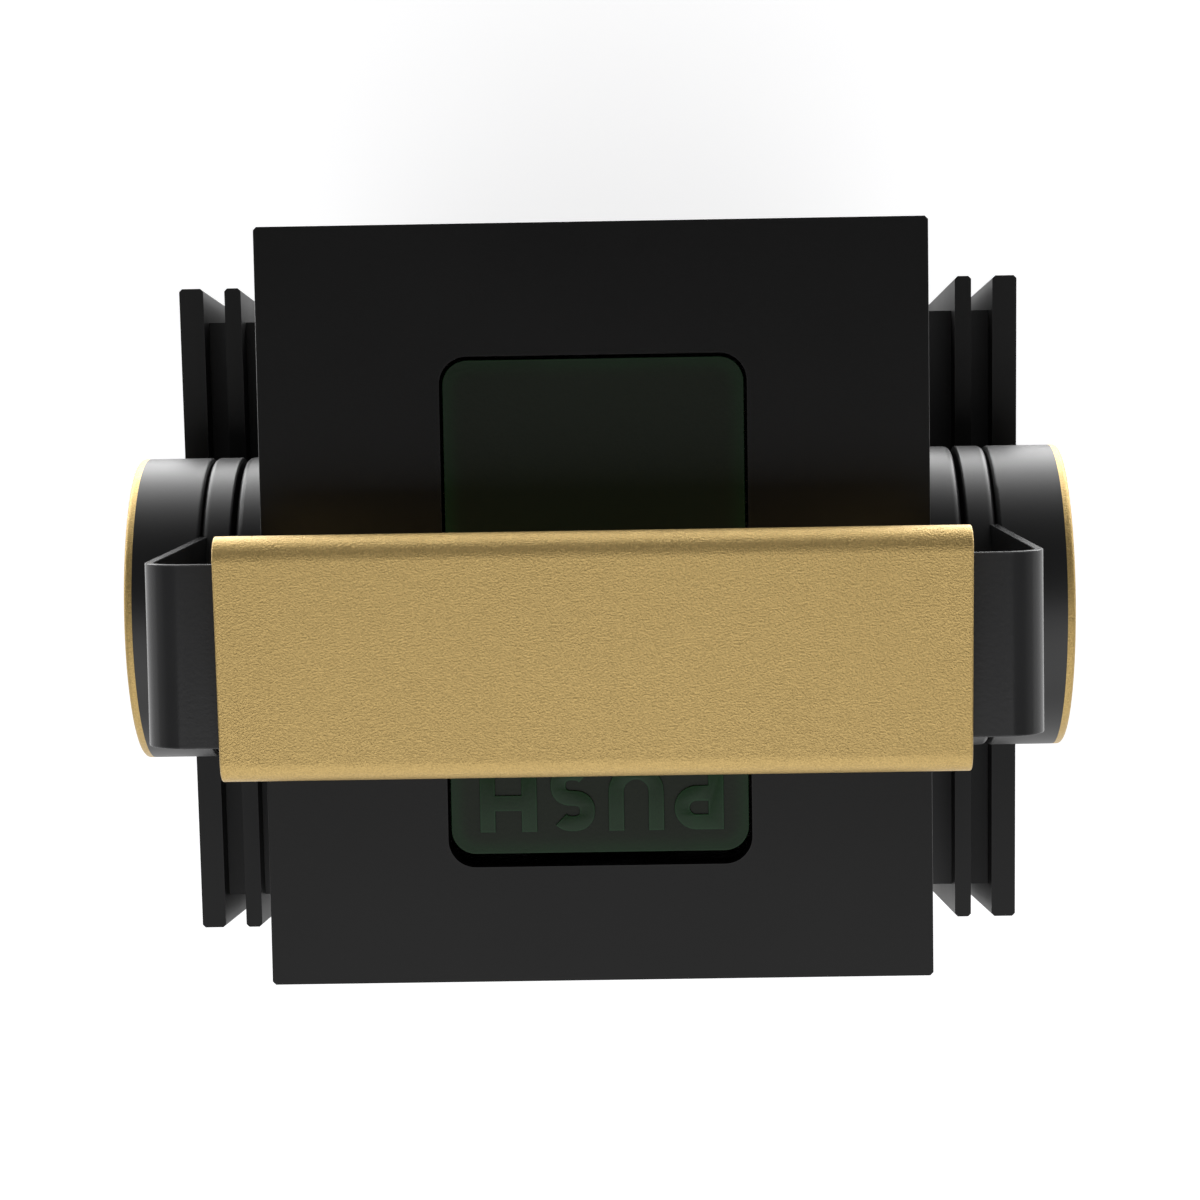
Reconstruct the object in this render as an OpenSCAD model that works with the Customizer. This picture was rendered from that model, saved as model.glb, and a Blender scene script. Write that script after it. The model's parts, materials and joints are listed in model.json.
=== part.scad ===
// Shot dispenser tower: a square column with a glass niche, side fins, a push paddle that works a
// dosing pump in the head, and a carrying handle that swings on two round hubs.
// Millimetres, +Z up, front towards -Y. The origin is on the floor under the middle of the base.

/* [Column and head] */
// Width of the column and the head
body_w = 121; // [117:0.5:130]
// Depth of the column and the head
body_d = 137.5; // [135:0.5:142]
// Height of the top face above the floor, at its middle
body_h = 400; // [390:1:440]
// Fall of the top face to the back in degrees
top_fall = 5.4; // [4:0.1:6]
// Thickness of the panels and of the head's walls
wall = 5; // [4.5:0.1:6]
// Height of the head block
head_h = 104; // [102:0.5:112]
// Thickness of the head's top
top_t = 6; // [5:0.1:7]
// Chamfer on the outer edges
edge = 0.6; // [0.3:0.1:1]

/* [Base] */
// Width of the base plate
base_w = 176; // [172:0.5:183]
// Depth of the base plate
base_d = 153; // [152.5:0.5:160]
// Thickness of the base plate
base_t = 14; // [12:0.5:18]
// Chamfer on the base plate
base_edge = 1.5; // [0.5:0.1:3]
// Diameter of a foot
foot_d = 20; // [14:0.5:24]
// Height of a foot
foot_h = 5; // [3:0.5:8]
// Distance of a foot's centre from the edges of the base
foot_in = 16; // [13:0.5:24]

/* [Side fins] */
// Length of a fin, front to back
fin_len = 135; // [128:0.5:136]
// Distance of the fins' middle behind the middle of the body
fin_shift = 0.8; // [0:0.1:4]
// Thickness of the outer fin
fin_outer_t = 5; // [4:0.1:6]
// Thickness of the inner fin
fin_inner_t = 3.4; // [2.5:0.1:4.5]
// Thickness of the spacer next to the body
spacer_inner_t = 13.7; // [12:0.1:15]
// Thickness of the spacer between the fins
spacer_outer_t = 4.4; // [3:0.1:6]
// Distance from the fins' front edge to the spacers
spacer_front_in = 6.4; // [5:0.1:12]
// Distance from the fins' back edge to the spacers
spacer_back_in = 6.4; // [5:0.1:12]
// Distance of the spacers' top below the fins' top
spacer_top_in = 8; // [6:0.5:14]
// Room between the fins' top and the hubs
fin_hub_gap = 1.5; // [1:0.1:4]
// Fall of the fins' top to the back in degrees
fin_fall = 9; // [6:0.5:10]
// Diameter of a fin screw
fin_screw_d = 5; // [4:0.1:6]
// Diameter of a fin screw's head
fin_screw_head_d = 9.5; // [8:0.1:11]
// Height of a fin screw's head
fin_screw_head_h = 2.7; // [2:0.1:3.5]
// Edge radius of a fin screw's head
fin_screw_round = 0.9; // [0.3:0.1:1]
// Width of the socket in a fin screw's head
fin_socket_w = 4.8; // [3:0.1:5]
// Depth of the socket in a fin screw's head
fin_socket_h = 1.8; // [1:0.1:1.9]
// Distance of the fin screws from the fins' ends
fin_screw_in = 29.5; // [20:0.5:40]
// Rows of fin screws
fin_screw_rows = 3; // [2:1:4]

/* [Hubs] */
// Radius of the hubs
hub_r = 30; // [27:0.5:31]
// Depth of the hub axis below the top face's middle
hub_drop = 66.7; // [65:0.1:68]
// Distance of the hub axis behind the middle of the body
hub_y = -0.5; // [-1:0.1:3]
// Thickness of the fixed boss
boss_t = 9.8; // [8:0.1:11]
// Running gap between the boss and the handle's flange
hub_gap = 0.8; // [0.7:0.1:1.2]
// Thickness of the friction washer in that gap
washer_t = 0.6; // [0.3:0.1:0.7]
// Radius of the friction washer
washer_r = 20; // [14:0.5:24]
// Thickness of the handle's flange behind the strap
flange_t = 4.5; // [3:0.1:6]
// Gap between the drum and the flange's rim beside the strap
flange_seam = 0.3; // [0.2:0.1:0.6]
// Length of the outer drum
drum_l = 14.5; // [13.5:0.1:18]
// Edge radius of the boss and of the flange's outer rim
ring_round = 1.4; // [0.5:0.1:1.6]
// Edge radius of the flange's inner rim
flange_round = 0.5; // [0.3:0.1:1.2]
// Edge radius of the drum
drum_round = 0.8; // [0.3:0.1:1.5]
// Length of the trim ring along the axis
trim_l = 1.6; // [1.5:0.1:3]
// Radial width of the trim ring
trim_w = 2.5; // [1.5:0.1:4]
// Distance of the drum's end face behind the trim ring's face
drum_face_in = 0.6; // [0.3:0.1:1]
// Radius of the hub cap
cap_r = 18; // [14:0.5:22]
// Thickness of the hub cap
cap_t = 1.5; // [1:0.1:2]
// Distance of the hub cap's face behind the drum's end face
cap_in = 0.3; // [0.1:0.1:0.6]
// Edge radius of the hub cap
cap_round = 0.6; // [0.2:0.1:0.8]
// Diameter of the pivot bolt's shoulder
bolt_d = 12; // [10:0.5:13]
// Diameter of the pivot bolt's head
bolt_head_d = 20; // [17:0.5:23]
// Height of the pivot bolt's head
bolt_head_h = 5; // [3:0.5:5]
// Width of the socket in the pivot bolt's head
bolt_socket_w = 12; // [8:0.5:14]
// Depth of the socket in the pivot bolt's head
bolt_socket_h = 2.5; // [1.5:0.1:2.8]
// Gap under the pivot bolt's head
bolt_seat_gap = 0.3; // [0.1:0.1:0.5]
// Room around the pivot bolt's head
bolt_room = 0.6; // [0.3:0.1:1]
// Width of the pivot nut across its flats
pivot_nut_w = 19; // [16:0.5:22]
// Thickness of the pivot nut
pivot_nut_t = 7; // [5:0.5:8]
// Diameter of a drive dowel
dowel_d = 3; // [2:0.1:4]
// Distance of the drive dowels from the hub axis
dowel_r = 11; // [9.5:0.1:12]
// Depth of the drive dowels in the drum and the flange
dowel_in = 3.5; // [2:0.1:4]

/* [Handle] */
// Width of the strap
strap_w = 31.5; // [28:0.5:34]
// Thickness of the strap
strap_t = 1.5; // [1.2:0.1:2.5]
// Outer bend radius of the strap
strap_bend = 8; // [6:0.5:10]
// Distance from the hub axis to the sleeve's outer face
sleeve_reach = 107.8; // [107:0.1:115]
// Length of the grip sleeve
sleeve_l = 128; // [110:0.5:130]
// Width of the grip sleeve
sleeve_w = 42.5; // [38:0.1:44]
// Thickness of the grip sleeve
sleeve_t = 8.2; // [7.5:0.1:8.5]
// Straight part of the sleeve's edge between its two bends
sleeve_side = 0.2; // [0.1:0.1:2]
// Turn of the sleeve against the strap, its back edge down, in degrees
sleeve_turn = 6.5; // [4:0.5:7]
// Shift of the sleeve's outside to the back of the strap
sleeve_back = 0.6; // [0.2:0.1:1]
// Lean of the handle to the back at rest in degrees
lean = 4.5; // [3:0.1:6]

/* [Paddle] */
// Width of the paddle's opening
open_w = 55.4; // [50:0.1:60]
// Length of the paddle's opening
open_l = 93; // [90:0.1:96]
// Corner radius of the paddle's opening
open_r = 5; // [3:0.1:8]
// Distance of the opening's middle behind the middle of the body
open_shift = 1.3; // [0:0.1:2]
// Gap at the paddle's sides
paddle_gap_side = 0.5; // [0.4:0.1:1]
// Gap at the paddle's front end
paddle_gap_front = 0.7; // [0.5:0.1:1.2]
// Gap at the paddle's free end
paddle_gap_back = 2.2; // [2:0.1:4]
// Thickness of the paddle
paddle_t = 5; // [4:0.1:6]
// Depth of the paddle's face below the top face
paddle_sink = 1.5; // [1.2:0.1:2.5]
// Diameter of the paddle's hinge pin
pin_d = 4; // [3:0.1:5]
// Depth of the hinge pin below the top face
pin_drop = 12; // [11.5:0.1:14]
// Distance of the hinge pin behind the opening's front edge
pin_in = 6.7; // [6.5:0.1:9]
// Radius of the paddle's lugs
lug_r = 4.5; // [3.6:0.1:4.6]
// Width of a lug
lug_w = 6; // [4:0.1:8]
// Distance of a lug's outer face from the paddle's side
lug_in = 2; // [1:0.1:5]
// Width of a hinge bracket
bracket_w = 5; // [4:0.1:7]
// Length of a hinge bracket
bracket_l = 12; // [9:0.1:13]
// Depth of a hinge bracket below the pin
bracket_drop = 6; // [4:0.1:8]
// Full press of the paddle in degrees
press = 10; // [8:0.5:10.5]

/* [Pump] */
// Distance of the pump axis behind the middle of the body
pump_y = 27; // [26:0.5:28]
// Bore of the pump cylinder
pump_bore = 46; // [40:0.5:50]
// Wall of the pump cylinder
pump_wall = 3; // [2:0.1:4]
// Thickness of the cylinder's floor
pump_floor = 4; // [3:0.1:5]
// Thickness of the cylinder's cap
pump_cap_t = 5; // [4:0.1:6]
// Free room above and below the piston's travel
pump_end = 1.5; // [1:0.1:2]
// Thickness of the piston
piston_t = 10; // [8:0.5:12]
// Width of the piston's seal
seal_w = 3; // [2:0.1:4]
// Radial depth of the seal's groove
seal_in = 2.5; // [1.5:0.1:3]
// Diameter of the plunger rod
rod_d = 10; // [8:0.5:12]
// Radius of the plunger's round tip
tip_r = 6; // [5.5:0.1:7]
// Gap between the plunger's tip and the paddle
tip_gap = 0.3; // [0.2:0.1:0.5]
// Distance from the tip to the spring seat
seat_drop = 8; // [7:0.1:9]
// Diameter of the spring seat
seat_d = 28; // [26:0.5:32]
// Thickness of the spring seat
seat_t = 3; // [2:0.1:4]
// Mean diameter of the return spring
spring_d = 22; // [19:0.5:23]
// Wire of the return spring
spring_wire = 2; // [1.5:0.1:2]
// Turns of the return spring
spring_turns = 6; // [4:1:6]
// Width of the valve block
block_w = 46; // [42:0.5:50]
// Height of the valve block
block_h = 16; // [15.5:0.5:18]
// Bore of the valve block's passages
port_d = 8; // [6:0.5:8]
// Diameter of a valve's flange
valve_d = 13; // [11:0.5:14]
// Thickness of a valve's flange
valve_flange_t = 2; // [1.5:0.1:2.5]
// Length of a valve's lips
valve_l = 6; // [4:0.1:6]
// Diameter of a valve's lips at their tip
valve_tip_d = 2.6; // [2:0.1:3.5]
// Thickness of the pump deck
deck_t = 5; // [4:0.1:6]
// Diameter of the dip tube
dip_d = 8; // [7:0.5:8]
// Wall of the dip tube
dip_wall = 1.5; // [1:0.1:2]
// Distance from the dip tube's foot to the tank's floor
dip_lift = 8; // [4:0.5:15]
// Diameter of the outlet hose
hose_d = 10; // [9:0.1:11]
// Wall of the outlet hose
hose_wall = 2; // [1.5:0.1:2]
// Length of the nipples inside the hose
nipple_l = 8; // [5:0.5:10]
// Thickness of the barb's plug and of its flange
barb_t = 3; // [2:0.1:4]
// Width of the barb's flange across its flats
barb_w = 15; // [14.2:0.1:15]
// Bend radius of the outlet hose
hose_bend = 16; // [14:0.5:18]
// Room around the hose where it passes the deck
hose_room = 3.8; // [3.6:0.1:4.5]

/* [Niche, spout and tray] */
// Width of the glass niche
niche_w = 84; // [74:0.5:86]
// Height of the glass niche above the base plate
niche_h = 131; // [110:1:150]
// Depth of the glass niche behind the front face
niche_d = 54; // [50:0.5:56]
// Thickness of the niche's liner
liner_t = 2; // [1.5:0.1:2.5]
// Distance of the spout behind the front face
spout_in = 26.75; // [24:0.25:29]
// Diameter of the spout
spout_d = 10; // [9:0.1:12]
// Bore of the spout and of the barb
spout_bore = 4; // [3:0.1:4.5]
// Length of the spout below the niche's ceiling
spout_drop = 22; // [16:0.5:30]
// Length of the spout above the niche's liner
spout_rise = 12; // [8:0.5:16]
// Diameter of the spout's flange
spout_flange_d = 22; // [18:0.5:26]
// Thickness of the spout's flange
spout_flange_t = 3; // [2:0.1:4]
// Length of the spout's tapered tip
spout_tip = 6; // [4:0.5:8]
// Diameter of the spout's tip
spout_tip_d = 8; // [7:0.1:8.5]
// Height of the drip tray
tray_h = 12; // [10:0.5:16]
// Wall of the drip tray
tray_wall = 1.6; // [1.2:0.1:2]
// Gap at the tray's sides
tray_gap = 0.5; // [0.3:0.1:1]
// Gap behind and under the tray
tray_seat = 0.3; // [0.2:0.1:0.5]
// Length of the tray's pull lip
lip_l = 32; // [20:0.5:50]
// Reach of the tray's pull lip
lip_d = 4; // [3:0.1:5]
// Thickness of the tray's pull lip
lip_t = 3; // [2:0.1:4]
// Thickness of the drip grille
grille_t = 2; // [1.5:0.1:3]
// Depth of the grille's face below the tray's rim
grille_in = 0.8; // [0.5:0.1:1.5]
// Gap around the grille
grille_gap = 0.4; // [0.2:0.1:0.8]
// Gap under the grille
grille_seat = 0.3; // [0.2:0.1:0.5]
// Width of the ledge that carries the grille
ledge_w = 2; // [1.5:0.1:3]
// Width of a slot in the grille
slot_w = 3; // [2:0.1:4]
// Distance between the grille's slots
slot_pitch = 6; // [5:0.1:8]
// Margin around the grille's slots
slot_margin = 7; // [5:0.5:10]

/* [Tank] */
// Width of the tank
tank_w = 84; // [76:0.5:86]
// Depth of the tank
tank_d = 64; // [58:0.5:66]
// Room between the tank cap and the pump deck
tank_room = 25.7; // [20:0.1:45]
// Wall of the tank
tank_wall = 2.5; // [2:0.1:3]
// Outer diameter of the tank's neck
neck_d = 44; // [36:0.5:46]
// Height of the tank's neck
neck_h = 10; // [8:0.5:12]
// Wall of the tank cap
lid_wall = 4; // [3:0.1:5]
// Thickness of the tank cap's top
lid_t = 3; // [2:0.1:4]
// Gap between the tank cap and what it goes over
lid_gap = 0.3; // [0.2:0.05:0.5]
// Radius of the grip flutes on the tank cap
flute_r = 2; // [1.5:0.1:2.5]
// Depth of the grip flutes
flute_in = 1; // [0.5:0.1:1.4]
// Grip flutes around the tank cap
flutes = 12; // [8:1:16]

/* [Rear door] */
// Gap at the door's sides
door_gap = 1.1; // [1:0.1:1.5]
// Gap above and below the door
door_end_gap = 0.6; // [0.4:0.1:1]
// Distance of the hinge axis from the door's edge
door_hinge_in = 4; // [3.8:0.1:4.1]
// Diameter of a door pin
door_pin_d = 3; // [2:0.1:3]
// Length of a door pin inside the door
door_pin_in = 7; // [5:0.5:10]
// Length of a door pin inside the base or the head
door_pin_seat = 4; // [3:0.5:6]
// Diameter of the door knob
knob_d = 14; // [10:0.5:18]
// Reach of the door knob
knob_l = 6; // [5:0.5:6]
// Diameter of the door knob's stem
knob_stem_d = 7; // [5:0.5:9]
// Length of the door knob's stem
knob_stem_l = 3; // [2:0.5:3]
// Edge radius of the door knob
knob_round = 1; // [0.5:0.1:1.5]
// Distance of the knob from the door's free edge
knob_in = 12; // [9:0.5:20]
// Depth of the door magnet
magnet_w = 8; // [6:0.5:10]
// Length of the door magnet
magnet_l = 20; // [14:0.5:26]
// Height of the door magnet
magnet_h = 10; // [7:0.5:14]
// Distance of the magnet from the door's free edge
magnet_in = 16; // [14:0.5:24]
// Thickness of the strike plate
strike_t = 1; // [0.6:0.1:1.2]
// Gap between the magnet and the strike plate
strike_gap = 0.3; // [0.2:0.1:0.5]

/* [Tie rods] */
// Diameter of a tie rod
tie_d = 6; // [5:0.1:6]
// Distance of a tie rod from the side panels
tie_in_x = 6.5; // [6.2:0.1:7]
// Distance of a tie rod from the front panel and the door
tie_in_y = 6.75; // [6.5:0.05:8]
// Width of a tie nut across its flats
tie_nut_w = 10; // [9:0.1:10.5]
// Thickness of a tie nut
tie_nut_t = 5; // [4:0.5:6]
// Length of a tie rod past its nut
tie_past = 2; // [1:0.1:3]

/* [Fits] */
// Clearance of a fixed pin or bolt in its hole
fit = 0.02; // [0.01:0.01:0.05]
// Radial clearance of a turning or sliding fit
run = 0.05; // [0.02:0.01:0.1]

/* [Hidden] */
$fn = 64;
tiny = 0.01;
far = 2 * body_h;
black = [0.11, 0.11, 0.12];
soft_black = [0.16, 0.16, 0.17];
gold = [0.66, 0.54, 0.32];
green = [0.14, 0.17, 0.13];
steel = [0.72, 0.73, 0.75];
clear = [0.80, 0.84, 0.86];
rubber = [0.07, 0.07, 0.07];

body_x = body_w / 2;
body_y = body_d / 2;
in_x = body_x - wall;
in_y = body_y - wall;
base_top = foot_h + base_t;
head_z = body_h - head_h;
head_high = body_h + body_d * tan(top_fall);
deck_top = head_z + deck_t;

hub_z = body_h - hub_drop;
boss_x = body_x + boss_t;
flange_x = boss_x + hub_gap;
arm_x = flange_x + flange_t;
drum_x = arm_x + strap_t;
flange_rim = drum_x - flange_seam;
drum_end = drum_x + drum_l;
trim_x = drum_end - trim_l;
drum_face = drum_end - drum_face_in;
hub_cap_x = drum_face - cap_in - cap_t;
bolt_head_x = hub_cap_x - bolt_room - bolt_head_h;
bolt_seat_x = bolt_head_x - bolt_seat_gap;

fin_top = hub_z - (hub_r + fin_hub_gap) / cos(fin_fall);
fin_rise = body_d * tan(fin_fall);
fin_front = fin_shift - fin_len / 2;
fin_back = fin_shift + fin_len / 2;
spacer_front = fin_front + spacer_front_in;
spacer_back = fin_back - spacer_back_in;
spacer_top = fin_top - spacer_top_in;
inner_fin_x = body_x + spacer_inner_t;
outer_spacer_x = inner_fin_x + fin_inner_t;
outer_fin_x = outer_spacer_x + spacer_outer_t;
fin_face_x = outer_fin_x + fin_outer_t;
fin_screw_y = [fin_front + fin_screw_in, fin_back - fin_screw_in];
fin_screw_step = (spacer_top - base_top - 2 * fin_screw_in) / (fin_screw_rows - 1);
fin_screw_z = [for (i = [0 : fin_screw_rows - 1]) base_top + fin_screw_in + i * fin_screw_step];

sleeve_round = (sleeve_t - sleeve_side) / 2;
strap_mid = sleeve_reach - sleeve_t / 2;
strap_top = hub_z + strap_mid + strap_t / 2;

open_front = open_shift - open_l / 2;
open_back = open_shift + open_l / 2;
paddle_front = open_front + paddle_gap_front;
paddle_back = open_back - paddle_gap_back;
paddle_x = open_w / 2 - paddle_gap_side;
paddle_top = body_h - paddle_sink;
paddle_under = paddle_top - paddle_t;
pin_y = open_front + pin_in;
pin_z = body_h - pin_drop;
lug_x = paddle_x - lug_in;
bracket_x = open_w / 2 + paddle_gap_side;

// The hinge pin's place after the top's fall, and the plunger's tip under the sloping paddle
hinge_pin_y = pin_y * cos(top_fall) - pin_drop * sin(top_fall);
hinge_pin_z = body_h - pin_y * sin(top_fall) - pin_drop * cos(top_fall);
tip_rise = paddle_under - pin_z - tip_gap - tip_r;
tip_arm = pump_y - hinge_pin_y;
function tip_depth(a) = (tip_arm * sin(a) - tip_rise) / cos(a);
tip_z = hinge_pin_z - tip_depth(top_fall) + tip_r;
stroke = tip_depth(top_fall + press) - tip_depth(top_fall);
block_top = deck_top + block_h;
chamber_z = block_top + pump_floor;
piston_z = chamber_z + pump_end + stroke;
barrel_top = piston_z + piston_t + pump_end;
pump_cap_top = barrel_top + pump_cap_t;
seat_z = tip_z - seat_drop - seat_t;
port_z = deck_top + block_h / 2;
block_front = pump_y - block_w / 2;
hose_start = block_front - barb_t;
nipple_d = hose_d - 2 * hose_wall - 2 * fit;
spring_low = pump_cap_top + tip_gap;
spring_high = seat_z - tip_gap;

niche_x = niche_w / 2;
niche_back = niche_d - body_y;
niche_top = base_top + niche_h;
spout_y = spout_in - body_y;
spout_low = niche_top - spout_drop;
spout_top = niche_top + liner_t + spout_rise;
tray_x = niche_x - tray_gap;
tray_front = -body_y;
tray_back = niche_back - tray_seat;
tray_z = base_top + tray_seat;
tray_rim = tray_z + tray_h;
grille_z = tray_rim - grille_in - grille_t;

tank_x = tank_w / 2;
tank_front = pump_y - tank_d / 2;
tank_back = pump_y + tank_d / 2;
lid_top = head_z - tank_room;
neck_top = lid_top - lid_t - lid_gap;
tank_top = neck_top - neck_h;
lid_r = neck_d / 2 + lid_gap + lid_wall;

door_x = in_x - door_gap;
door_low = base_top + door_end_gap;
door_high = head_z - door_end_gap;
door_mid = (door_low + door_high) / 2;
hinge_x = door_x - door_hinge_in;
hinge_y = body_y - wall / 2;
knob_x = knob_in - door_x;
magnet_x = magnet_in - door_x;
magnet_low = head_z - magnet_h;

tie_x = in_x - tie_in_x;
tie_y = in_y - tie_in_y;
tie_nut_r = tie_nut_w / sqrt(3) + fit;
tie_pocket = foot_h + tie_nut_t + tie_past;

function span_mid(a, b) = (a + b) / 2;

// A box between two opposite corners
module span_box(a, b) {
    translate(a) cube(b - a);
}

module chamfer_rect(w, h, c) {
    polygon([[c, 0], [w - c, 0], [w, c], [w, h - c], [w - c, h], [c, h], [0, h - c], [0, c]]);
}

// A box between two opposite corners with every edge chamfered
module chamfer_box(a, b, c) {
    s = b - a;
    translate(a) intersection() {
        linear_extrude(s.z) chamfer_rect(s.x, s.y, c);
        rotate([90, 0, 90]) linear_extrude(s.x) chamfer_rect(s.y, s.z, c);
        translate([0, s.y, 0]) rotate([90, 0, 0]) linear_extrude(s.y) chamfer_rect(s.x, s.z, c);
    }
}

// A rectangle about its middle with round corners
module round_rect(w, h, r) {
    square([w - 2 * r, h], center = true);
    square([w, h - 2 * r], center = true);
    for (x = [-1, 1], y = [-1, 1])
        translate([x * (w / 2 - r), y * (h / 2 - r)]) circle(r);
}

// Half outline of a disc whose two rims are rounded, with a hole
module disc_outline(r, l, hole, low_round, high_round) {
    difference() {
        union() {
            square([r - max(low_round, high_round), l]);
            translate([0, low_round]) square([r, l - low_round - high_round]);
            translate([r - low_round, low_round]) circle(low_round);
            translate([r - high_round, l - high_round]) circle(high_round);
            square([r - low_round, l / 2]);
            translate([0, l / 2]) square([r - high_round, l / 2]);
        }
        translate([-r, -tiny]) square([r + hole, l + 2 * tiny]);
    }
}

// A disc on the hub axis that starts at x and runs outwards
module hub_disc(x, r, l, hole, low_round, high_round) {
    translate([x, hub_y, hub_z]) rotate([0, 90, 0]) rotate_extrude()
        disc_outline(r, l, hole, low_round, high_round);
}

// Pieces drawn under a level top face, turned to its fall
module on_top() {
    translate([0, 0, body_h]) rotate([-top_fall, 0, 0]) translate([0, 0, -body_h]) children();
}

// The space above a face that lies this far below the top face
module above_top(depth) {
    on_top() span_box([-far, -far, body_h - depth], [far, far, far]);
}

// The space above a fin's sloping top, which is given under the hub axis
module above_fin(top) {
    translate([0, hub_y, top]) rotate([-fin_fall, 0, 0]) span_box([-far, -far, 0], [far, far, far]);
}

// Pieces drawn under an upright handle, turned about the hub axis to its lean
module leaned() {
    translate([0, hub_y, hub_z]) rotate([-lean, 0, 0]) translate([0, -hub_y, -hub_z]) children();
}

// A plain cylinder on the hub axis
module hub_bar(x, r, l, sides = 64) {
    translate([x, hub_y, hub_z]) rotate([0, 90, 0]) cylinder(h = l, r = r, $fn = sides);
}

module left() {
    mirror([1, 0, 0]) children();
}

module both_sides() {
    children();
    left() children();
}

// The fin screws' shanks on the right, with some room around them
module fin_screw_shanks(room) {
    for (y = fin_screw_y, z = fin_screw_z)
        translate([in_x - room, y, z]) rotate([0, 90, 0])
            cylinder(h = fin_face_x - in_x + 2 * room, d = fin_screw_d + 2 * room, $fn = 24);
}

module dowels(room) {
    leaned() for (s = [-1, 1])
        translate([arm_x - dowel_in - room, hub_y + s * dowel_r, hub_z]) rotate([0, 90, 0])
            cylinder(h = strap_t + 2 * dowel_in + 2 * room, d = dowel_d + 2 * room, $fn = 24);
}

module at_ties() {
    for (x = [-1, 1], y = [-1, 1])
        translate([x * tie_x, y * tie_y, 0]) children();
}

module tube(z0, z1, d, t) {
    difference() {
        translate([0, 0, z0]) cylinder(h = z1 - z0, d = d);
        translate([0, 0, z0 - tiny]) cylinder(h = z1 - z0 + 2 * tiny, d = d - 2 * t);
    }
}

module feet() {
    color(rubber)
        for (x = [-1, 1], y = [-1, 1])
            translate([x * (base_w / 2 - foot_in), y * (base_d / 2 - foot_in), 0])
                cylinder(h = foot_h, d = foot_d);
}

module base_plate() {
    color(black) difference() {
        chamfer_box([-base_w / 2, -base_d / 2, foot_h], [base_w / 2, base_d / 2, base_top], base_edge);
        at_ties() {
            cylinder(h = base_top + tiny, d = tie_d + 2 * fit);
            cylinder(h = tie_pocket, r = tie_nut_r + tie_past);
        }
        translate([hinge_x, hinge_y, base_top - door_pin_seat])
            cylinder(h = door_pin_seat + tiny, d = door_pin_d + 2 * fit, $fn = 24);
    }
}

module front_panel() {
    color(black) difference() {
        chamfer_box([-body_x, -body_y, base_top], [body_x, -in_y, head_z], edge);
        span_box([-niche_x, -body_y - tiny, base_top - tiny], [niche_x, -in_y + tiny, niche_top]);
    }
}

module side_panel_right() {
    color(black) difference() {
        chamfer_box([in_x, -in_y, base_top], [body_x, body_y, head_z], edge);
        fin_screw_shanks(fit);
    }
}

module side_panel_left() {
    left() side_panel_right();
}

module head_shell() {
    color(black) difference() {
        chamfer_box([-body_x, -body_y, head_z], [body_x, body_y, head_high], edge);
        above_top(0);
        difference() {
            span_box([-in_x, -in_y, head_z - tiny], [in_x, in_y, head_high]);
            above_top(top_t);
        }
        on_top() translate([0, open_shift, body_h - top_t - tiny]) linear_extrude(top_t + 2 * tiny)
            round_rect(open_w, open_l, open_r);
        both_sides() hub_bar(in_x - tiny, bolt_d / 2 + fit, wall + 2 * tiny);
        translate([hinge_x, hinge_y, head_z - tiny])
            cylinder(h = door_pin_seat + tiny, d = door_pin_d + 2 * fit, $fn = 24);
    }
}

module niche_liner() {
    color(soft_black) difference() {
        span_box([-niche_x - liner_t, -in_y, base_top],
            [niche_x + liner_t, niche_back + liner_t, niche_top + liner_t]);
        span_box([-niche_x, -in_y - tiny, base_top - tiny], [niche_x, niche_back, niche_top]);
        translate([0, spout_y, niche_top - tiny]) cylinder(h = liner_t + 2 * tiny, d = spout_d + 2 * fit);
    }
}

module spout() {
    color(steel) translate([0, spout_y, 0]) difference() {
        union() {
            translate([0, 0, spout_low]) cylinder(h = spout_tip, d1 = spout_tip_d, d2 = spout_d);
            translate([0, 0, spout_low + spout_tip])
                cylinder(h = spout_top - spout_low - spout_tip, d = spout_d);
            translate([0, 0, niche_top - spout_flange_t]) cylinder(h = spout_flange_t, d = spout_flange_d);
            translate([0, 0, spout_top - tiny]) cylinder(h = nipple_l + tiny, d = nipple_d);
        }
        translate([0, 0, spout_low - tiny])
            cylinder(h = spout_top - spout_low + nipple_l + 2 * tiny, d = spout_bore);
    }
}

module pump_deck() {
    color(steel) difference() {
        span_box([-in_x, -in_y, head_z], [in_x, in_y, deck_top]);
        at_ties() translate([0, 0, head_z - tiny]) cylinder(h = deck_t + 2 * tiny, d = tie_d + 2 * fit);
        translate([0, pump_y, head_z - tiny]) cylinder(h = deck_t + 2 * tiny, d = dip_d + 2 * fit);
        translate([0, spout_y, head_z - tiny]) cylinder(h = deck_t + 2 * tiny, d = hose_d + 2 * hose_room);
    }
}

module tie_rods() {
    rod_low = tie_pocket - tie_nut_t;
    color(steel) at_ties() translate([0, 0, rod_low])
        cylinder(h = deck_top + tie_nut_t + tie_past - rod_low, d = tie_d);
}

module tie_nuts() {
    color(steel) at_ties() for (z = [tie_pocket - tie_nut_t, deck_top])
        translate([0, 0, z]) difference() {
            cylinder(h = tie_nut_t, r = tie_nut_w / sqrt(3), $fn = 6);
            translate([0, 0, -tiny]) cylinder(h = tie_nut_t + 2 * tiny, d = tie_d + 2 * fit);
        }
}

module fin_layer(x0, x1, y0, y1, top, c) {
    difference() {
        chamfer_box([x0, y0, base_top], [x1, y1, top + fin_rise], c);
        above_fin(top);
        fin_screw_shanks(fit);
    }
}

module fin_spacer_inner_right() {
    color(soft_black) fin_layer(body_x, inner_fin_x, spacer_front, spacer_back, spacer_top, 0);
}

module fin_spacer_inner_left() {
    left() fin_spacer_inner_right();
}

module fin_inner_right() {
    color(black) fin_layer(inner_fin_x, outer_spacer_x, fin_front, fin_back, fin_top, edge);
}

module fin_inner_left() {
    left() fin_inner_right();
}

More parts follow.
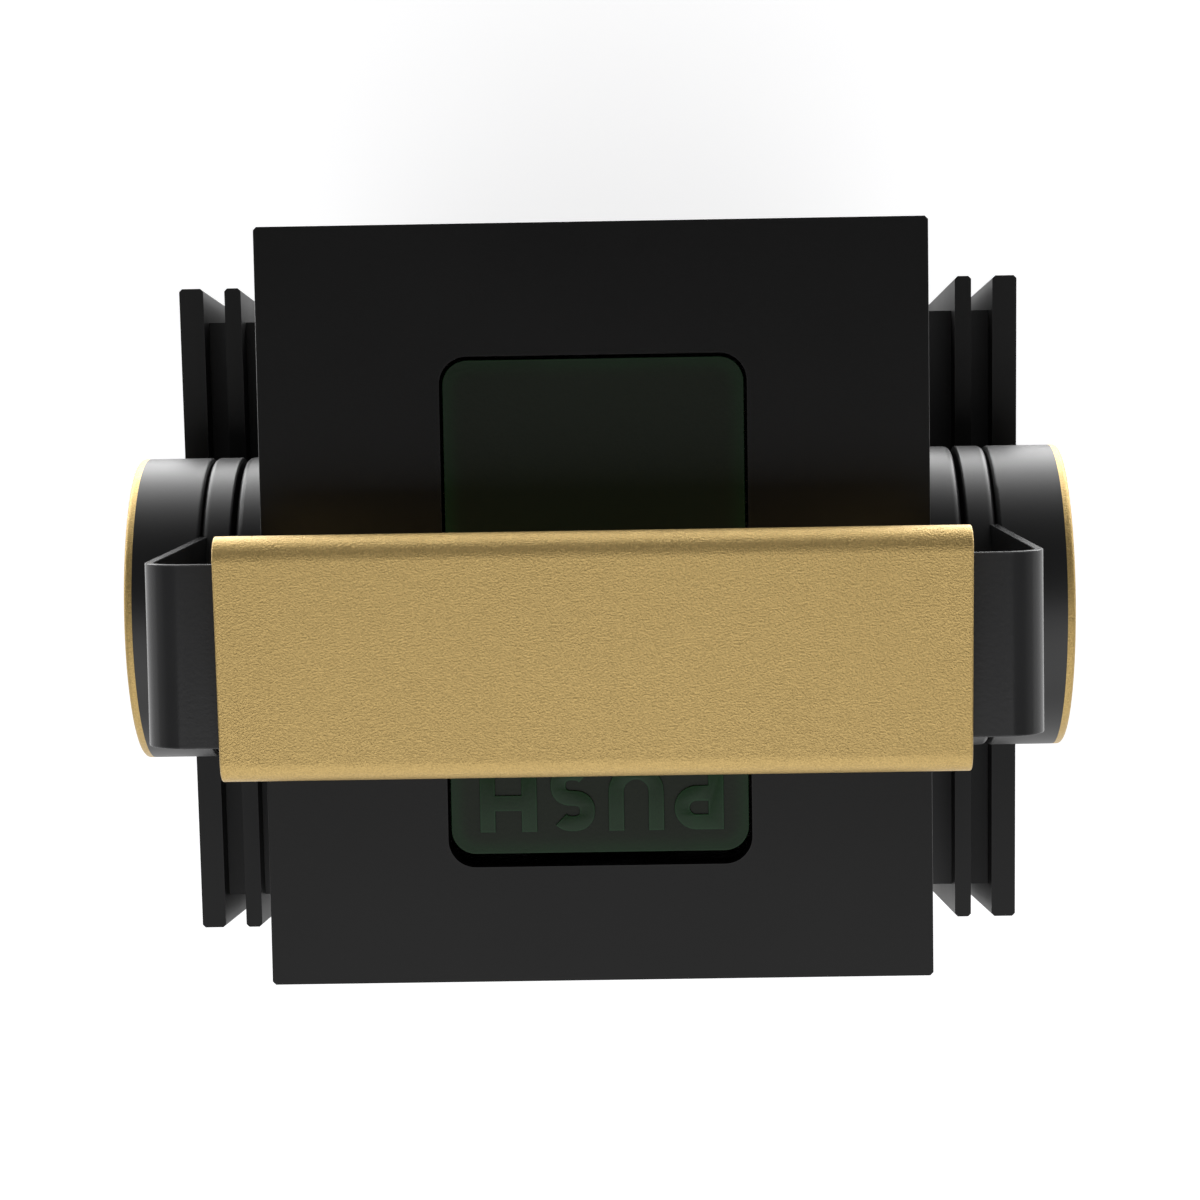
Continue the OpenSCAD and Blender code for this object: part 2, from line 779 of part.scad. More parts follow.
module fin_spacer_outer_right() {
    color(soft_black) fin_layer(outer_spacer_x, outer_fin_x, spacer_front, spacer_back, spacer_top, 0);
}

module fin_spacer_outer_left() {
    left() fin_spacer_outer_right();
}

module fin_outer_right() {
    color(black) fin_layer(outer_fin_x, fin_face_x, fin_front, fin_back, fin_top, edge);
}

module fin_outer_left() {
    left() fin_outer_right();
}

module fin_screws() {
    head_x = fin_face_x - in_x;
    color(soft_black) both_sides() for (y = fin_screw_y, z = fin_screw_z)
        translate([in_x, y, z]) rotate([0, 90, 0]) difference() {
            union() {
                cylinder(h = head_x, d = fin_screw_d, $fn = 24);
                translate([0, 0, head_x]) rotate_extrude($fn = 32)
                    disc_outline(fin_screw_head_d / 2, fin_screw_head_h, 0, tiny, fin_screw_round);
            }
            translate([0, 0, head_x + fin_screw_head_h - fin_socket_h])
                cylinder(h = fin_screw_head_h, d = fin_socket_w, $fn = 6);
        }
}

module hub_boss_right() {
    color(black) hub_disc(body_x, hub_r, boss_t, bolt_d / 2 + fit, tiny, ring_round);
}

module hub_boss_left() {
    left() hub_boss_right();
}

module hub_washers() {
    color(rubber) both_sides() hub_disc(boss_x, washer_r, washer_t, bolt_d / 2 + fit, tiny, tiny);
}

module pivot_bolts() {
    color(steel) both_sides() {
        hub_bar(in_x - pivot_nut_t, bolt_d / 2, bolt_head_x - in_x + pivot_nut_t + tiny);
        difference() {
            hub_bar(bolt_head_x, bolt_head_d / 2, bolt_head_h);
            hub_bar(bolt_head_x + bolt_head_h - bolt_socket_h, bolt_socket_w / 2, bolt_head_h, 6);
        }
    }
}

module pivot_nuts() {
    color(steel) both_sides() difference() {
        hub_bar(in_x - pivot_nut_t, pivot_nut_w / sqrt(3), pivot_nut_t, 6);
        hub_bar(in_x - pivot_nut_t - tiny, bolt_d / 2 + fit, pivot_nut_t + 2 * tiny);
    }
}

module tank() {
    neck_r = neck_d / 2;
    color(clear) difference() {
        union() {
            chamfer_box([-tank_x, tank_front, base_top], [tank_x, tank_back, tank_top], tank_wall);
            translate([0, pump_y, tank_top - tiny]) cylinder(h = neck_h + tiny, r = neck_r);
        }
        chamfer_box([tank_wall - tank_x, tank_front + tank_wall, base_top + tank_wall],
            [tank_x - tank_wall, tank_back - tank_wall, tank_top - tank_wall], tank_wall);
        translate([0, pump_y, tank_top - 2 * tank_wall])
            cylinder(h = neck_h + 2 * tank_wall + tiny, r = neck_r - tank_wall);
    }
}

module dip_tube() {
    color(clear) translate([0, pump_y, 0]) tube(base_top + tank_wall + dip_lift, deck_top, dip_d, dip_wall);
}

module valve_block() {
    pocket_h = valve_flange_t + valve_l / 2;
    outlet_in = barb_t + valve_l + valve_flange_t;
    color(clear) difference() {
        span_box([-block_w / 2, block_front, deck_top], [block_w / 2, pump_y + block_w / 2, block_top]);
        translate([0, pump_y, deck_top - tiny]) cylinder(h = block_h + 2 * tiny, d = port_d);
        translate([0, pump_y, deck_top - tiny]) cylinder(h = pocket_h, d = valve_d + 2 * fit);
        translate([0, block_front - tiny, port_z]) rotate([-90, 0, 0]) {
            cylinder(h = block_w / 2, d = port_d);
            cylinder(h = outlet_in + tiny, d = valve_d + 2 * fit);
        }
    }
}

// A rubber one-way valve: a flange, and lips that point the way of the flow
module valve() {
    color(rubber) difference() {
        union() {
            cylinder(h = valve_flange_t, d = valve_d);
            cylinder(h = valve_flange_t + valve_l, d1 = port_d - 2 * run, d2 = valve_tip_d);
        }
        translate([0, 0, -tiny]) cylinder(h = valve_flange_t + valve_l / 2, d = valve_tip_d);
    }
}

module inlet_valve() {
    translate([0, pump_y, deck_top]) valve();
}

module outlet_valve() {
    translate([0, block_front + barb_t + valve_l + valve_flange_t, port_z]) rotate([90, 0, 0]) valve();
}

// The plug that closes the outlet, with a flange and a nipple for the hose
module outlet_barb() {
    color(steel) translate([0, block_front + barb_t, port_z]) rotate([90, 0, 0]) difference() {
        union() {
            cylinder(h = barb_t + tiny, d = valve_d);
            translate([0, 0, barb_t]) cylinder(h = barb_t, r = barb_w / sqrt(3), $fn = 6);
            translate([0, 0, 2 * barb_t - tiny]) cylinder(h = nipple_l + tiny, d = nipple_d);
        }
        translate([0, 0, -tiny]) cylinder(h = 2 * barb_t + nipple_l + 2 * tiny, d = spout_bore);
    }
}

module pump_cylinder() {
    color(clear) translate([0, pump_y, 0]) difference() {
        translate([0, 0, block_top]) cylinder(h = barrel_top - block_top, d = pump_bore + 2 * pump_wall);
        translate([0, 0, chamber_z]) cylinder(h = barrel_top - chamber_z + tiny, d = pump_bore);
        translate([0, 0, block_top - tiny]) cylinder(h = pump_floor + 2 * tiny, d = port_d);
    }
}

module pump_cap() {
    color(soft_black) translate([0, pump_y, barrel_top]) difference() {
        cylinder(h = pump_cap_t, d = pump_bore + 2 * pump_wall);
        translate([0, 0, -tiny]) cylinder(h = pump_cap_t + 2 * tiny, d = rod_d + 2 * run);
    }
}

// The hose runs forwards from the barb, bends down through the deck and ends on the spout
module outlet_hose() {
    color(soft_black) difference() {
        hose_run(hose_d, 0);
        hose_run(hose_d - 2 * hose_wall, tiny);
    }
}

module hose_run(d, past) {
    bend_y = spout_y + hose_bend;
    bend_z = port_z - hose_bend;
    translate([0, bend_y, port_z]) rotate([-90, 0, 0]) cylinder(h = hose_start - bend_y + past, d = d);
    translate([0, bend_y, bend_z]) rotate([0, -90, 0]) rotate(-90) rotate_extrude(angle = 90)
        translate([hose_bend, 0]) circle(d = d);
    translate([0, spout_y, spout_top - past]) cylinder(h = bend_z - spout_top + past, d = d);
}

module paddle_brackets() {
    color(soft_black) on_top() both_sides() difference() {
        span_box([bracket_x, pin_y - bracket_l / 2, pin_z - bracket_drop],
            [bracket_x + bracket_w, pin_y + bracket_l / 2, body_h - top_t]);
        translate([bracket_x - tiny, pin_y, pin_z]) rotate([0, 90, 0])
            cylinder(h = bracket_w + 2 * tiny, d = pin_d + 2 * fit, $fn = 32);
    }
}

module paddle_pin() {
    pin_x = bracket_x + bracket_w;
    color(soft_black) on_top() translate([-pin_x, pin_y, pin_z]) rotate([0, 90, 0])
        cylinder(h = 2 * pin_x, d = pin_d, $fn = 32);
}

module door_pins() {
    color(soft_black) for (z = [base_top - door_pin_seat, head_z - door_end_gap - door_pin_in])
        translate([hinge_x, hinge_y, z])
            cylinder(h = door_pin_seat + door_end_gap + door_pin_in, d = door_pin_d, $fn = 24);
}

module door_magnet() {
    magnet_back = in_y - strike_t - strike_gap;
    color(soft_black) span_box([magnet_x, magnet_back - magnet_w, magnet_low],
        [magnet_x + magnet_l, magnet_back, head_z]);
}

module push_paddle() {
    color(green) on_top() difference() {
        union() {
            translate([0, span_mid(paddle_front, paddle_back), paddle_under]) linear_extrude(paddle_t)
                round_rect(2 * paddle_x, paddle_back - paddle_front, open_r - paddle_gap_side);
            for (s = [-1, 1]) {
                x = s > 0 ? lug_x - lug_w : -lug_x;
                translate([x, pin_y, pin_z]) rotate([0, 90, 0]) cylinder(h = lug_w, r = lug_r);
                span_box([x, pin_y - lug_r, pin_z], [x + lug_w, pin_y + lug_r, paddle_under + tiny]);
            }
        }
        translate([-paddle_x, pin_y, pin_z]) rotate([0, 90, 0])
            cylinder(h = 2 * paddle_x, d = pin_d + 2 * run, $fn = 32);
    }
}

module plunger_rod() {
    color(steel) translate([0, pump_y, 0]) {
        translate([0, 0, tip_z - tip_r]) sphere(r = tip_r);
        translate([0, 0, piston_z + piston_t]) cylinder(h = tip_z - tip_r - piston_z - piston_t, d = rod_d);
        translate([0, 0, seat_z]) cylinder(h = seat_t, d = seat_d);
    }
}

module piston() {
    groove_z = piston_t / 2 - seal_w / 2;
    piston_r = pump_bore / 2 - 2 * run;
    color(soft_black) translate([0, pump_y, piston_z]) difference() {
        cylinder(h = piston_t, r = piston_r);
        translate([0, 0, groove_z]) difference() {
            cylinder(h = seal_w, r = piston_r + tiny);
            translate([0, 0, -tiny]) cylinder(h = seal_w + 2 * tiny, r = piston_r - seal_in);
        }
    }
}

module piston_seal() {
    seal_r = pump_bore / 2 - run;
    seal_hole = pump_bore / 2 - 2 * run - seal_in + fit;
    color(rubber) translate([0, pump_y, piston_z + piston_t / 2 - seal_w / 2 + fit]) difference() {
        cylinder(h = seal_w - 2 * fit, r = seal_r);
        translate([0, 0, -tiny]) cylinder(h = seal_w, r = seal_hole);
    }
}

// The return spring: one wire swept along a helix
turn_rings = 8;
spring_rings = turn_rings * spring_turns;
spring_sides = 6;
spring_pitch = (spring_high - spring_low - spring_wire) / spring_turns;
spring_lean = atan(spring_pitch / (PI * spring_d));

function spring_point(i, j) =
    let (turn = 360 * i * spring_turns / spring_rings)
    let (around = 360 * j / spring_sides)
    let (out = spring_d / 2 + spring_wire / 2 * cos(around))
    let (up = spring_wire / 2 * sin(around))
    let (z = spring_low + spring_wire / 2 + (spring_high - spring_low - spring_wire) * i / spring_rings)
    [out * cos(turn) + up * sin(spring_lean) * sin(turn),
     out * sin(turn) - up * sin(spring_lean) * cos(turn),
     z + up * cos(spring_lean)];

module return_spring() {
    points = [for (i = [0 : spring_rings], j = [0 : spring_sides - 1]) spring_point(i, j)];
    last = spring_rings * spring_sides;
    side = [for (i = [0 : spring_rings - 1], j = [0 : spring_sides - 1])
        let (a = i * spring_sides + j)
        let (b = i * spring_sides + (j + 1) % spring_sides)
        each [[a, a + spring_sides, b + spring_sides], [a, b + spring_sides, b]]];
    ends = [for (j = [1 : spring_sides - 2])
        each [[0, j, j + 1], [last, last + j + 1, last + j]]];
    color(steel) translate([0, pump_y, 0]) polyhedron(points, concat(side, ends));
}

// Distances from each point of the spring to the points one turn further up
spring_gaps = [for (i = [0 : spring_rings - turn_rings], j = [0 : spring_sides - 1], k = [0 : spring_sides - 1])
    norm(spring_point(i, j) - spring_point(i + turn_rings, k))];

union() {
    echo(spring_least_gap = min(spring_gaps));
    echo(plunger_stroke = stroke);
    echo(hinge_pin = [hinge_pin_y, hinge_pin_z]);
    echo(spring_ends = [spring_low, spring_high]);
    echo(shot_millilitres = PI * pow(pump_bore / 2, 2) * stroke / 1000);
}

module strap_outline(inset) {
    r = strap_bend - inset;
    half = drum_x - inset;
    high = strap_top - hub_z - inset;
    translate([-half, 0]) square([2 * half, high - r]);
    translate([r - half, 0]) square([2 * (half - r), high]);
    for (s = [-1, 1])
        translate([s * (half - r), high - r]) circle(r);
}

// A flat strip bent twice, with round ends on the hub axis
module handle_strap() {
    color(soft_black) difference() {
        leaned() union() {
            translate([0, hub_y + strap_w / 2, hub_z]) rotate([90, 0, 0]) linear_extrude(strap_w)
                difference() {
                    strap_outline(0);
                    translate([0, -tiny]) strap_outline(strap_t);
                }
            both_sides() hub_bar(arm_x, strap_w / 2, strap_t);
        }
        both_sides() hub_bar(arm_x - tiny, bolt_d / 2 + run, strap_t + 2 * tiny);
        both_sides() dowels(fit);
    }
}

module handle_sleeve() {
    slot_t = strap_t + 2 * run;
    color(gold) leaned() translate([-sleeve_l / 2, hub_y, hub_z + strap_mid]) rotate([90, 0, 90])
        linear_extrude(sleeve_l) difference() {
            translate([sleeve_back, 0]) rotate(-sleeve_turn) round_rect(sleeve_w, sleeve_t, sleeve_round);
            square([strap_w + 2 * run, slot_t], center = true);
        }
}

// The room for the strap's end in the flange's rim
module strap_bed() {
    half = strap_w / 2 + run;
    hub_bar(arm_x, half, strap_t);
    span_box([arm_x, hub_y - half, hub_z], [drum_x, hub_y + half, hub_z + hub_r + strap_t]);
}

module hub_flange_right() {
    color(black) difference() {
        hub_disc(flange_x, hub_r, flange_rim - flange_x, bolt_d / 2 + run, flange_round, ring_round);
        leaned() strap_bed();
        dowels(fit);
    }
}

module hub_flange_left() {
    left() hub_flange_right();
}

module hub_drum_right() {
    color(soft_black) difference() {
        union() {
            hub_disc(drum_x, hub_r, trim_x - drum_x, bolt_d / 2 + run, drum_round, tiny);
            hub_disc(trim_x - tiny, hub_r - trim_w, drum_face - trim_x + tiny,
                bolt_d / 2 + run, tiny, tiny);
        }
        hub_bar(bolt_seat_x, bolt_head_d / 2 + bolt_room, drum_end - bolt_seat_x);
        hub_bar(hub_cap_x, cap_r, drum_end - hub_cap_x);
        dowels(fit);
    }
}

module hub_drum_left() {
    left() hub_drum_right();
}

module hub_trim_right() {
    color(gold) hub_disc(trim_x, hub_r, trim_l, hub_r - trim_w + fit, tiny, drum_round);
}

module hub_trim_left() {
    left() hub_trim_right();
}

module hub_cap_right() {
    color(black) hub_disc(hub_cap_x, cap_r - run, cap_t, 0, tiny, cap_round);
}

module hub_cap_left() {
    left() hub_cap_right();
}

module hub_dowels() {
    color(steel) both_sides() dowels(0);
}

module rear_door() {
    color(black) difference() {
        chamfer_box([-door_x, in_y, door_low], [door_x, body_y, door_high], edge);
        for (z = [door_low - tiny, door_high - door_pin_in - door_end_gap])
            translate([hinge_x, hinge_y, z])
                cylinder(h = door_pin_in + door_end_gap + tiny, d = door_pin_d + 2 * run, $fn = 24);
    }
}

module door_knob() {
    color(gold) translate([knob_x, body_y, door_mid]) rotate([-90, 0, 0]) {
        cylinder(h = knob_stem_l + tiny, d = knob_stem_d);
        translate([0, 0, knob_stem_l]) rotate_extrude()
            disc_outline(knob_d / 2, knob_l - knob_stem_l, 0, tiny, knob_round);
    }
}

module door_strike() {
    color(steel) span_box([magnet_x, in_y - strike_t, magnet_low],
        [magnet_x + magnet_l, in_y, door_high - edge]);
}

module drip_tray() {
    inner_x = tray_x - tray_wall;
    inner_front = tray_front + tray_wall;
    inner_back = tray_back - tray_wall;
    color(soft_black) {
        difference() {
            span_box([-tray_x, tray_front, tray_z], [tray_x, tray_back, tray_rim]);
            span_box([-inner_x, inner_front, grille_z - grille_seat], [inner_x, inner_back, tray_rim + tiny]);
            span_box([ledge_w - inner_x, inner_front + ledge_w, tray_z + tray_wall],
                [inner_x - ledge_w, inner_back - ledge_w, tray_rim]);
        }
        span_box([-lip_l / 2, tray_front - lip_d, tray_rim - lip_t],
            [lip_l / 2, tray_front + tiny, tray_rim]);
    }
}

module drip_grille() {
    half_x = tray_x - tray_wall - grille_gap;
    front = tray_front + tray_wall + grille_gap;
    back = tray_back - tray_wall - grille_gap;
    slots = floor((2 * half_x - 2 * slot_margin - slot_w) / slot_pitch);
    color(steel) difference() {
        span_box([-half_x, front, grille_z], [half_x, back, grille_z + grille_t]);
        for (i = [0 : slots])
            translate([(i - slots / 2) * slot_pitch - slot_w / 2, front + slot_margin, grille_z - tiny])
                cube([slot_w, back - front - 2 * slot_margin, grille_t + 2 * tiny]);
    }
}

module tank_cap() {
    lid_z = tank_top + lid_gap;
    color(soft_black) translate([0, pump_y, 0]) difference() {
        translate([0, 0, lid_z]) cylinder(h = lid_top - lid_z, r = lid_r);
        translate([0, 0, lid_z - tiny])
            cylinder(h = neck_top + lid_gap - lid_z + tiny, r = neck_d / 2 + lid_gap);
        translate([0, 0, lid_z]) cylinder(h = lid_top - lid_z + tiny, d = dip_d + 2 * lid_gap);
        for (i = [0 : flutes - 1])
            rotate(360 * i / flutes) translate([lid_r + flute_r - flute_in, 0, lid_z - tiny])
                cylinder(h = lid_top - lid_z + 2 * tiny, r = flute_r, $fn = 24);
    }
}

feet();
base_plate();
front_panel();
side_panel_left();
side_panel_right();
head_shell();
niche_liner();
spout();
pump_deck();
tie_rods();
tie_nuts();
fin_spacer_inner_left();
fin_spacer_inner_right();
fin_inner_left();
fin_inner_right();
fin_spacer_outer_left();
fin_spacer_outer_right();
fin_outer_left();
fin_outer_right();
fin_screws();
hub_boss_left();
hub_boss_right();
hub_washers();
pivot_bolts();
pivot_nuts();
tank();
dip_tube();
valve_block();
inlet_valve();
outlet_valve();
outlet_barb();
pump_cylinder();
pump_cap();
outlet_hose();
paddle_brackets();
paddle_pin();
door_pins();
door_magnet();
push_paddle();
plunger_rod();
piston();
piston_seal();
return_spring();
handle_strap();
handle_sleeve();
hub_flange_left();
hub_flange_right();
hub_drum_left();
hub_drum_right();
hub_trim_left();
hub_trim_right();
hub_cap_left();
hub_cap_right();
hub_dowels();
rear_door();
door_knob();
door_strike();
drip_tray();
drip_grille();
tank_cap();
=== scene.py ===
import json
import math

import bmesh
import bpy
from mathutils import Euler, Matrix, Vector


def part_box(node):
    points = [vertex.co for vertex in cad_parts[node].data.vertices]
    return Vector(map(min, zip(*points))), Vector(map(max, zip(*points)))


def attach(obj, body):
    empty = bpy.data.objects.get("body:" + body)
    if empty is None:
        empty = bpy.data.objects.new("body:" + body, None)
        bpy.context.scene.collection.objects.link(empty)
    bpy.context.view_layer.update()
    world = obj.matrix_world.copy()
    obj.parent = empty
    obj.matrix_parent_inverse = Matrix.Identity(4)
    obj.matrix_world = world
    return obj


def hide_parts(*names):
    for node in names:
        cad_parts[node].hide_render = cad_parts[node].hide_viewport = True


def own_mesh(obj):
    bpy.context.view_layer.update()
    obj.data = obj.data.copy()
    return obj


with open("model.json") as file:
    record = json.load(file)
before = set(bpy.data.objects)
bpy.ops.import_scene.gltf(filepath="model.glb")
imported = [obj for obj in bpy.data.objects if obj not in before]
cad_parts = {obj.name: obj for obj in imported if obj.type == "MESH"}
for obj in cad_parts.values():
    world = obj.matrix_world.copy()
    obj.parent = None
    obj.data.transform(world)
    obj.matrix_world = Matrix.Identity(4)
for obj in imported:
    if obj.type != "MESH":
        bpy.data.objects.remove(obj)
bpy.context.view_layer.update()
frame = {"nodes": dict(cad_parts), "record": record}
nodes = frame["nodes"]
mm = 0.001
scene = bpy.context.scene
scene.view_settings.view_transform = "Standard"


# the camera looks straight down
cameraView = {
    "place": (-8.070, -2.142, 997.397),  # millimetres
    "turn": (-0.1339, 0.7084, 179.0946),  # degrees
    "lens": 99.0,
    "sensor": 36.0,
}


def makeCamera(view):
    data = bpy.data.cameras.new("topCamera")
    data.lens = view["lens"]
    data.sensor_width = view["sensor"]
    cam = bpy.data.objects.new("topCamera", data)
    scene.collection.objects.link(cam)
    cam.location = Vector(view["place"]) * mm
    cam.rotation_euler = Euler([math.radians(a) for a in view["turn"]], "XYZ")
    scene.camera = cam


makeCamera(cameraView)

studio = {
    "floorSize": 9.0,
    "floorColor": (0.86, 0.86, 0.87, 1.0),
    "floorGlow": 0.64,  # what the eye sees added to the floor's own light: together white, but for the shadow
    "fill": 0.368,  # soft light from all round
    "ceilingFront": 0.048,  # how bright the room is in a reflection: overhead and in front
    "ceilingBack": 0.232,  # behind
    "ceilingFade": (-0.05, 0.35),  # where the one turns into the other, from front to back
    "horizonSide": 0.528,  # low down, left and right
    "horizonEnd": 0.736,  # low down, in front and behind
    "horizonFade": (0.05, 0.50),  # how high this paler band reaches
    "endFade": (0.20, 0.75),  # where its sides turn into its ends
    "lamps": [
        # name, middle, a point straight in front of it, size x, size y, watts
        ("backBox", (0.0, 1.09, 1.55), (0.0, 0.0, 0.38), 2.6, 2.0, 16.0),
        ("nearCard", (0.0, -0.44, 0.035), (0.0, -0.40, 0.40), 1.9, 0.46, 13.0),
        ("farCard", (0.0, -1.20, 0.11), (0.0, -1.05, 0.60), 2.2, 1.0, 12.0),
    ],
}


def setSockets(node, sockets):
    for key, value in sockets.items():
        node.inputs[key.replace("_", " ")].default_value = value
    return node


def put(tree, kind, **sockets):
    return setSockets(tree.nodes.new(kind), sockets)


def calc(tree, operation, a, b=None, clamp=False):
    node = tree.nodes.new("ShaderNodeMath")
    node.operation = operation
    node.use_clamp = clamp
    for i, value in enumerate((a, b)):
        if value is None:
            continue
        if isinstance(value, (int, float)):
            node.inputs[i].default_value = value
        else:
            tree.links.new(value, node.inputs[i])
    return node.outputs[0]


def seenMask(tree):
    # what the eye sees straight, and that with what it sees in a reflection or through clear plastic
    path = tree.nodes.new("ShaderNodeLightPath").outputs
    mirrored = calc(tree, "MAXIMUM", path["Is Camera Ray"], path["Is Glossy Ray"])
    return path["Is Camera Ray"], calc(tree, "MAXIMUM", mirrored, path["Is Transmission Ray"])


def mixShaders(tree, share, first, second):
    node = tree.nodes.new("ShaderNodeMixShader")
    for source, socket in zip((share, first, second), node.inputs):
        tree.links.new(source, socket)
    return node.outputs[0]


def makeFloor(kit):
    half = kit["floorSize"] / 2
    corners = [(-half, -half, 0), (half, -half, 0), (half, half, 0), (-half, half, 0)]
    mesh = bpy.data.meshes.new("floor")
    mesh.from_pydata(corners, [], [(0, 1, 2, 3)])
    floor = bpy.data.objects.new("floor", mesh)
    scene.collection.objects.link(floor)
    mat = bpy.data.materials.new("paleFloor")
    mat.use_nodes = True
    tree = mat.node_tree
    tree.nodes.clear()
    out = tree.nodes.new("ShaderNodeOutputMaterial")
    diffuse = put(tree, "ShaderNodeBsdfDiffuse", Color=kit["floorColor"])
    glow = put(tree, "ShaderNodeEmission", Strength=kit["floorGlow"])
    white = put(tree, "ShaderNodeEmission", Strength=1.0)
    lit = tree.nodes.new("ShaderNodeAddShader")
    tree.links.new(diffuse.outputs[0], lit.inputs[0])
    tree.links.new(glow.outputs[0], lit.inputs[1])
    # the eye sees the shadow on the floor, a reflection sees plain white
    eye, seen = seenMask(tree)
    shown = mixShaders(tree, eye, white.outputs[0], lit.outputs[0])
    tree.links.new(mixShaders(tree, seen, diffuse.outputs[0], shown), out.inputs["Surface"])
    mesh.materials.append(mat)


def softStep(tree, source, fade, atLow, atHigh):
    node = put(tree, "ShaderNodeMapRange", From_Min=fade[0], From_Max=fade[1], To_Min=atLow, To_Max=atHigh)
    node.interpolation_type = "SMOOTHSTEP"
    tree.links.new(source, node.inputs["Value"])
    return node.outputs["Result"]


def makeWorld(kit):
    world = bpy.data.worlds.new("studio")
    scene.world = world
    world.use_nodes = True
    tree = world.node_tree
    tree.nodes.clear()
    out = tree.nodes.new("ShaderNodeOutputWorld")
    white = put(tree, "ShaderNodeBackground", Color=(1.0, 1.0, 1.0, 1.0))
    fill = put(tree, "ShaderNodeBackground", Color=(1.0, 1.0, 1.0, 1.0), Strength=kit["fill"])
    # plain white to the eye; a reflection shows a dark ceiling, paler behind and round the horizon
    place = tree.nodes.new("ShaderNodeTexCoord")
    split = tree.nodes.new("ShaderNodeSeparateXYZ")
    tree.links.new(place.outputs["Generated"], split.inputs[0])
    back, up = split.outputs["Y"], split.outputs["Z"]
    low = softStep(tree, up, kit["horizonFade"], 1.0, 0.0)
    above = softStep(tree, back, kit["ceilingFade"], kit["ceilingFront"], kit["ceilingBack"])
    ends = calc(tree, "ABSOLUTE", back)
    around = softStep(tree, ends, kit["endFade"], kit["horizonSide"], kit["horizonEnd"])
    room = tree.nodes.new("ShaderNodeMix")
    for source, socket in ((low, room.inputs[0]), (above, room.inputs[2]), (around, room.inputs[3])):
        tree.links.new(source, socket)
    eye, seen = seenMask(tree)
    tree.links.new(calc(tree, "MAXIMUM", room.outputs[0], eye), white.inputs["Strength"])
    tree.links.new(mixShaders(tree, seen, fill.outputs[0], white.outputs[0]), out.inputs["Surface"])


def makeLamps(kit):
    for name, place, aim, sizeX, sizeY, watts in kit["lamps"]:
        data = bpy.data.lights.new(name, "AREA")
        data.shape = "RECTANGLE"
        data.size, data.size_y = sizeX, sizeY
        data.energy = watts
        lamp = bpy.data.objects.new(name, data)
        scene.collection.objects.link(lamp)
        lamp.location = place
        lamp.rotation_euler = (Vector(aim) - Vector(place)).to_track_quat("-Z", "Y").to_euler()
        lamp.visible_camera = False


makeFloor(studio)
makeWorld(studio)
makeLamps(studio)
print("stage: camera, floor, world and", len(studio["lamps"]), "lamps")


def newGroup(name, inputs, outputs):
    group = bpy.data.node_groups.new(name, "ShaderNodeTree")
    for label, kind, value in inputs:
        socket = group.interface.new_socket(name=label, in_out="INPUT", socket_type=kind)
        socket.default_value = value
    for label, kind in outputs:
        group.interface.new_socket(name=label, in_out="OUTPUT", socket_type=kind)
    return group, group.nodes.new("NodeGroupInput"), group.nodes.new("NodeGroupOutput")


number, vector = "NodeSocketFloat", "NodeSocketVector"


def makePeelGroup():
    # the skin of a powder coat: a stipple a third of a millimetre across, finer dimples on top
    sizes = [("Scale", number, 3200.0), ("Stretch", number, 1.15), ("Fine", number, 0.55)]
    group, into, out = newGroup("powderPeel", sizes, [("Height", number), ("Cloud", number)])
    dimples = 2.6  # times as fine as the stipple
    place = group.nodes.new("ShaderNodeTexCoord")
    widen = put(group, "ShaderNodeCombineXYZ", Y=1.0, Z=1.0)
    group.links.new(calc(group, "DIVIDE", 1.0, into.outputs["Stretch"]), widen.inputs["X"])
    turned = group.nodes.new("ShaderNodeVectorMath")
    turned.operation = "MULTIPLY"
    group.links.new(place.outputs["Object"], turned.inputs[0])
    group.links.new(widen.outputs[0], turned.inputs[1])
    coarse = put(group, "ShaderNodeTexNoise", Detail=2.0, Roughness=0.45)
    fine = put(group, "ShaderNodeTexNoise", Detail=2.0, Roughness=0.5)
    cloud = put(group, "ShaderNodeTexNoise", Scale=28.0, Detail=3.0, Roughness=0.55)
    for node in (coarse, fine, cloud):
        group.links.new(turned.outputs[0], node.inputs["Vector"])
    group.links.new(into.outputs["Scale"], coarse.inputs["Scale"])
    group.links.new(calc(group, "MULTIPLY", into.outputs["Scale"], dimples), fine.inputs["Scale"])
    low = calc(group, "MULTIPLY", fine.outputs["Fac"], into.outputs["Fine"])
    both = calc(group, "ADD", coarse.outputs["Fac"], low)
    share = calc(group, "ADD", 1.0, into.outputs["Fine"])
    group.links.new(calc(group, "DIVIDE", both, share), out.inputs["Height"])
    group.links.new(cloud.outputs["Fac"], out.inputs["Cloud"])
    return group


def makeGrainGroup():
    # bead-blasted and anodised metal, or a spark-eroded mould: very fine even grain with slow clouds
    group, into, out = newGroup("fineGrain", [("Scale", number, 2600.0), ("Cloud Scale", number, 22.0)],
                                [("Height", number), ("Cloud", number)])
    place = group.nodes.new("ShaderNodeTexCoord")
    grain = put(group, "ShaderNodeTexNoise", Detail=2.0, Roughness=0.6)
    cloud = put(group, "ShaderNodeTexNoise", Detail=4.0, Roughness=0.55)
    for node in (grain, cloud):
        group.links.new(place.outputs["Object"], node.inputs["Vector"])
    group.links.new(into.outputs["Scale"], grain.inputs["Scale"])
    group.links.new(into.outputs["Cloud Scale"], cloud.inputs["Scale"])
    group.links.new(grain.outputs["Fac"], out.inputs["Height"])
    group.links.new(cloud.outputs["Fac"], out.inputs["Cloud"])
    return group


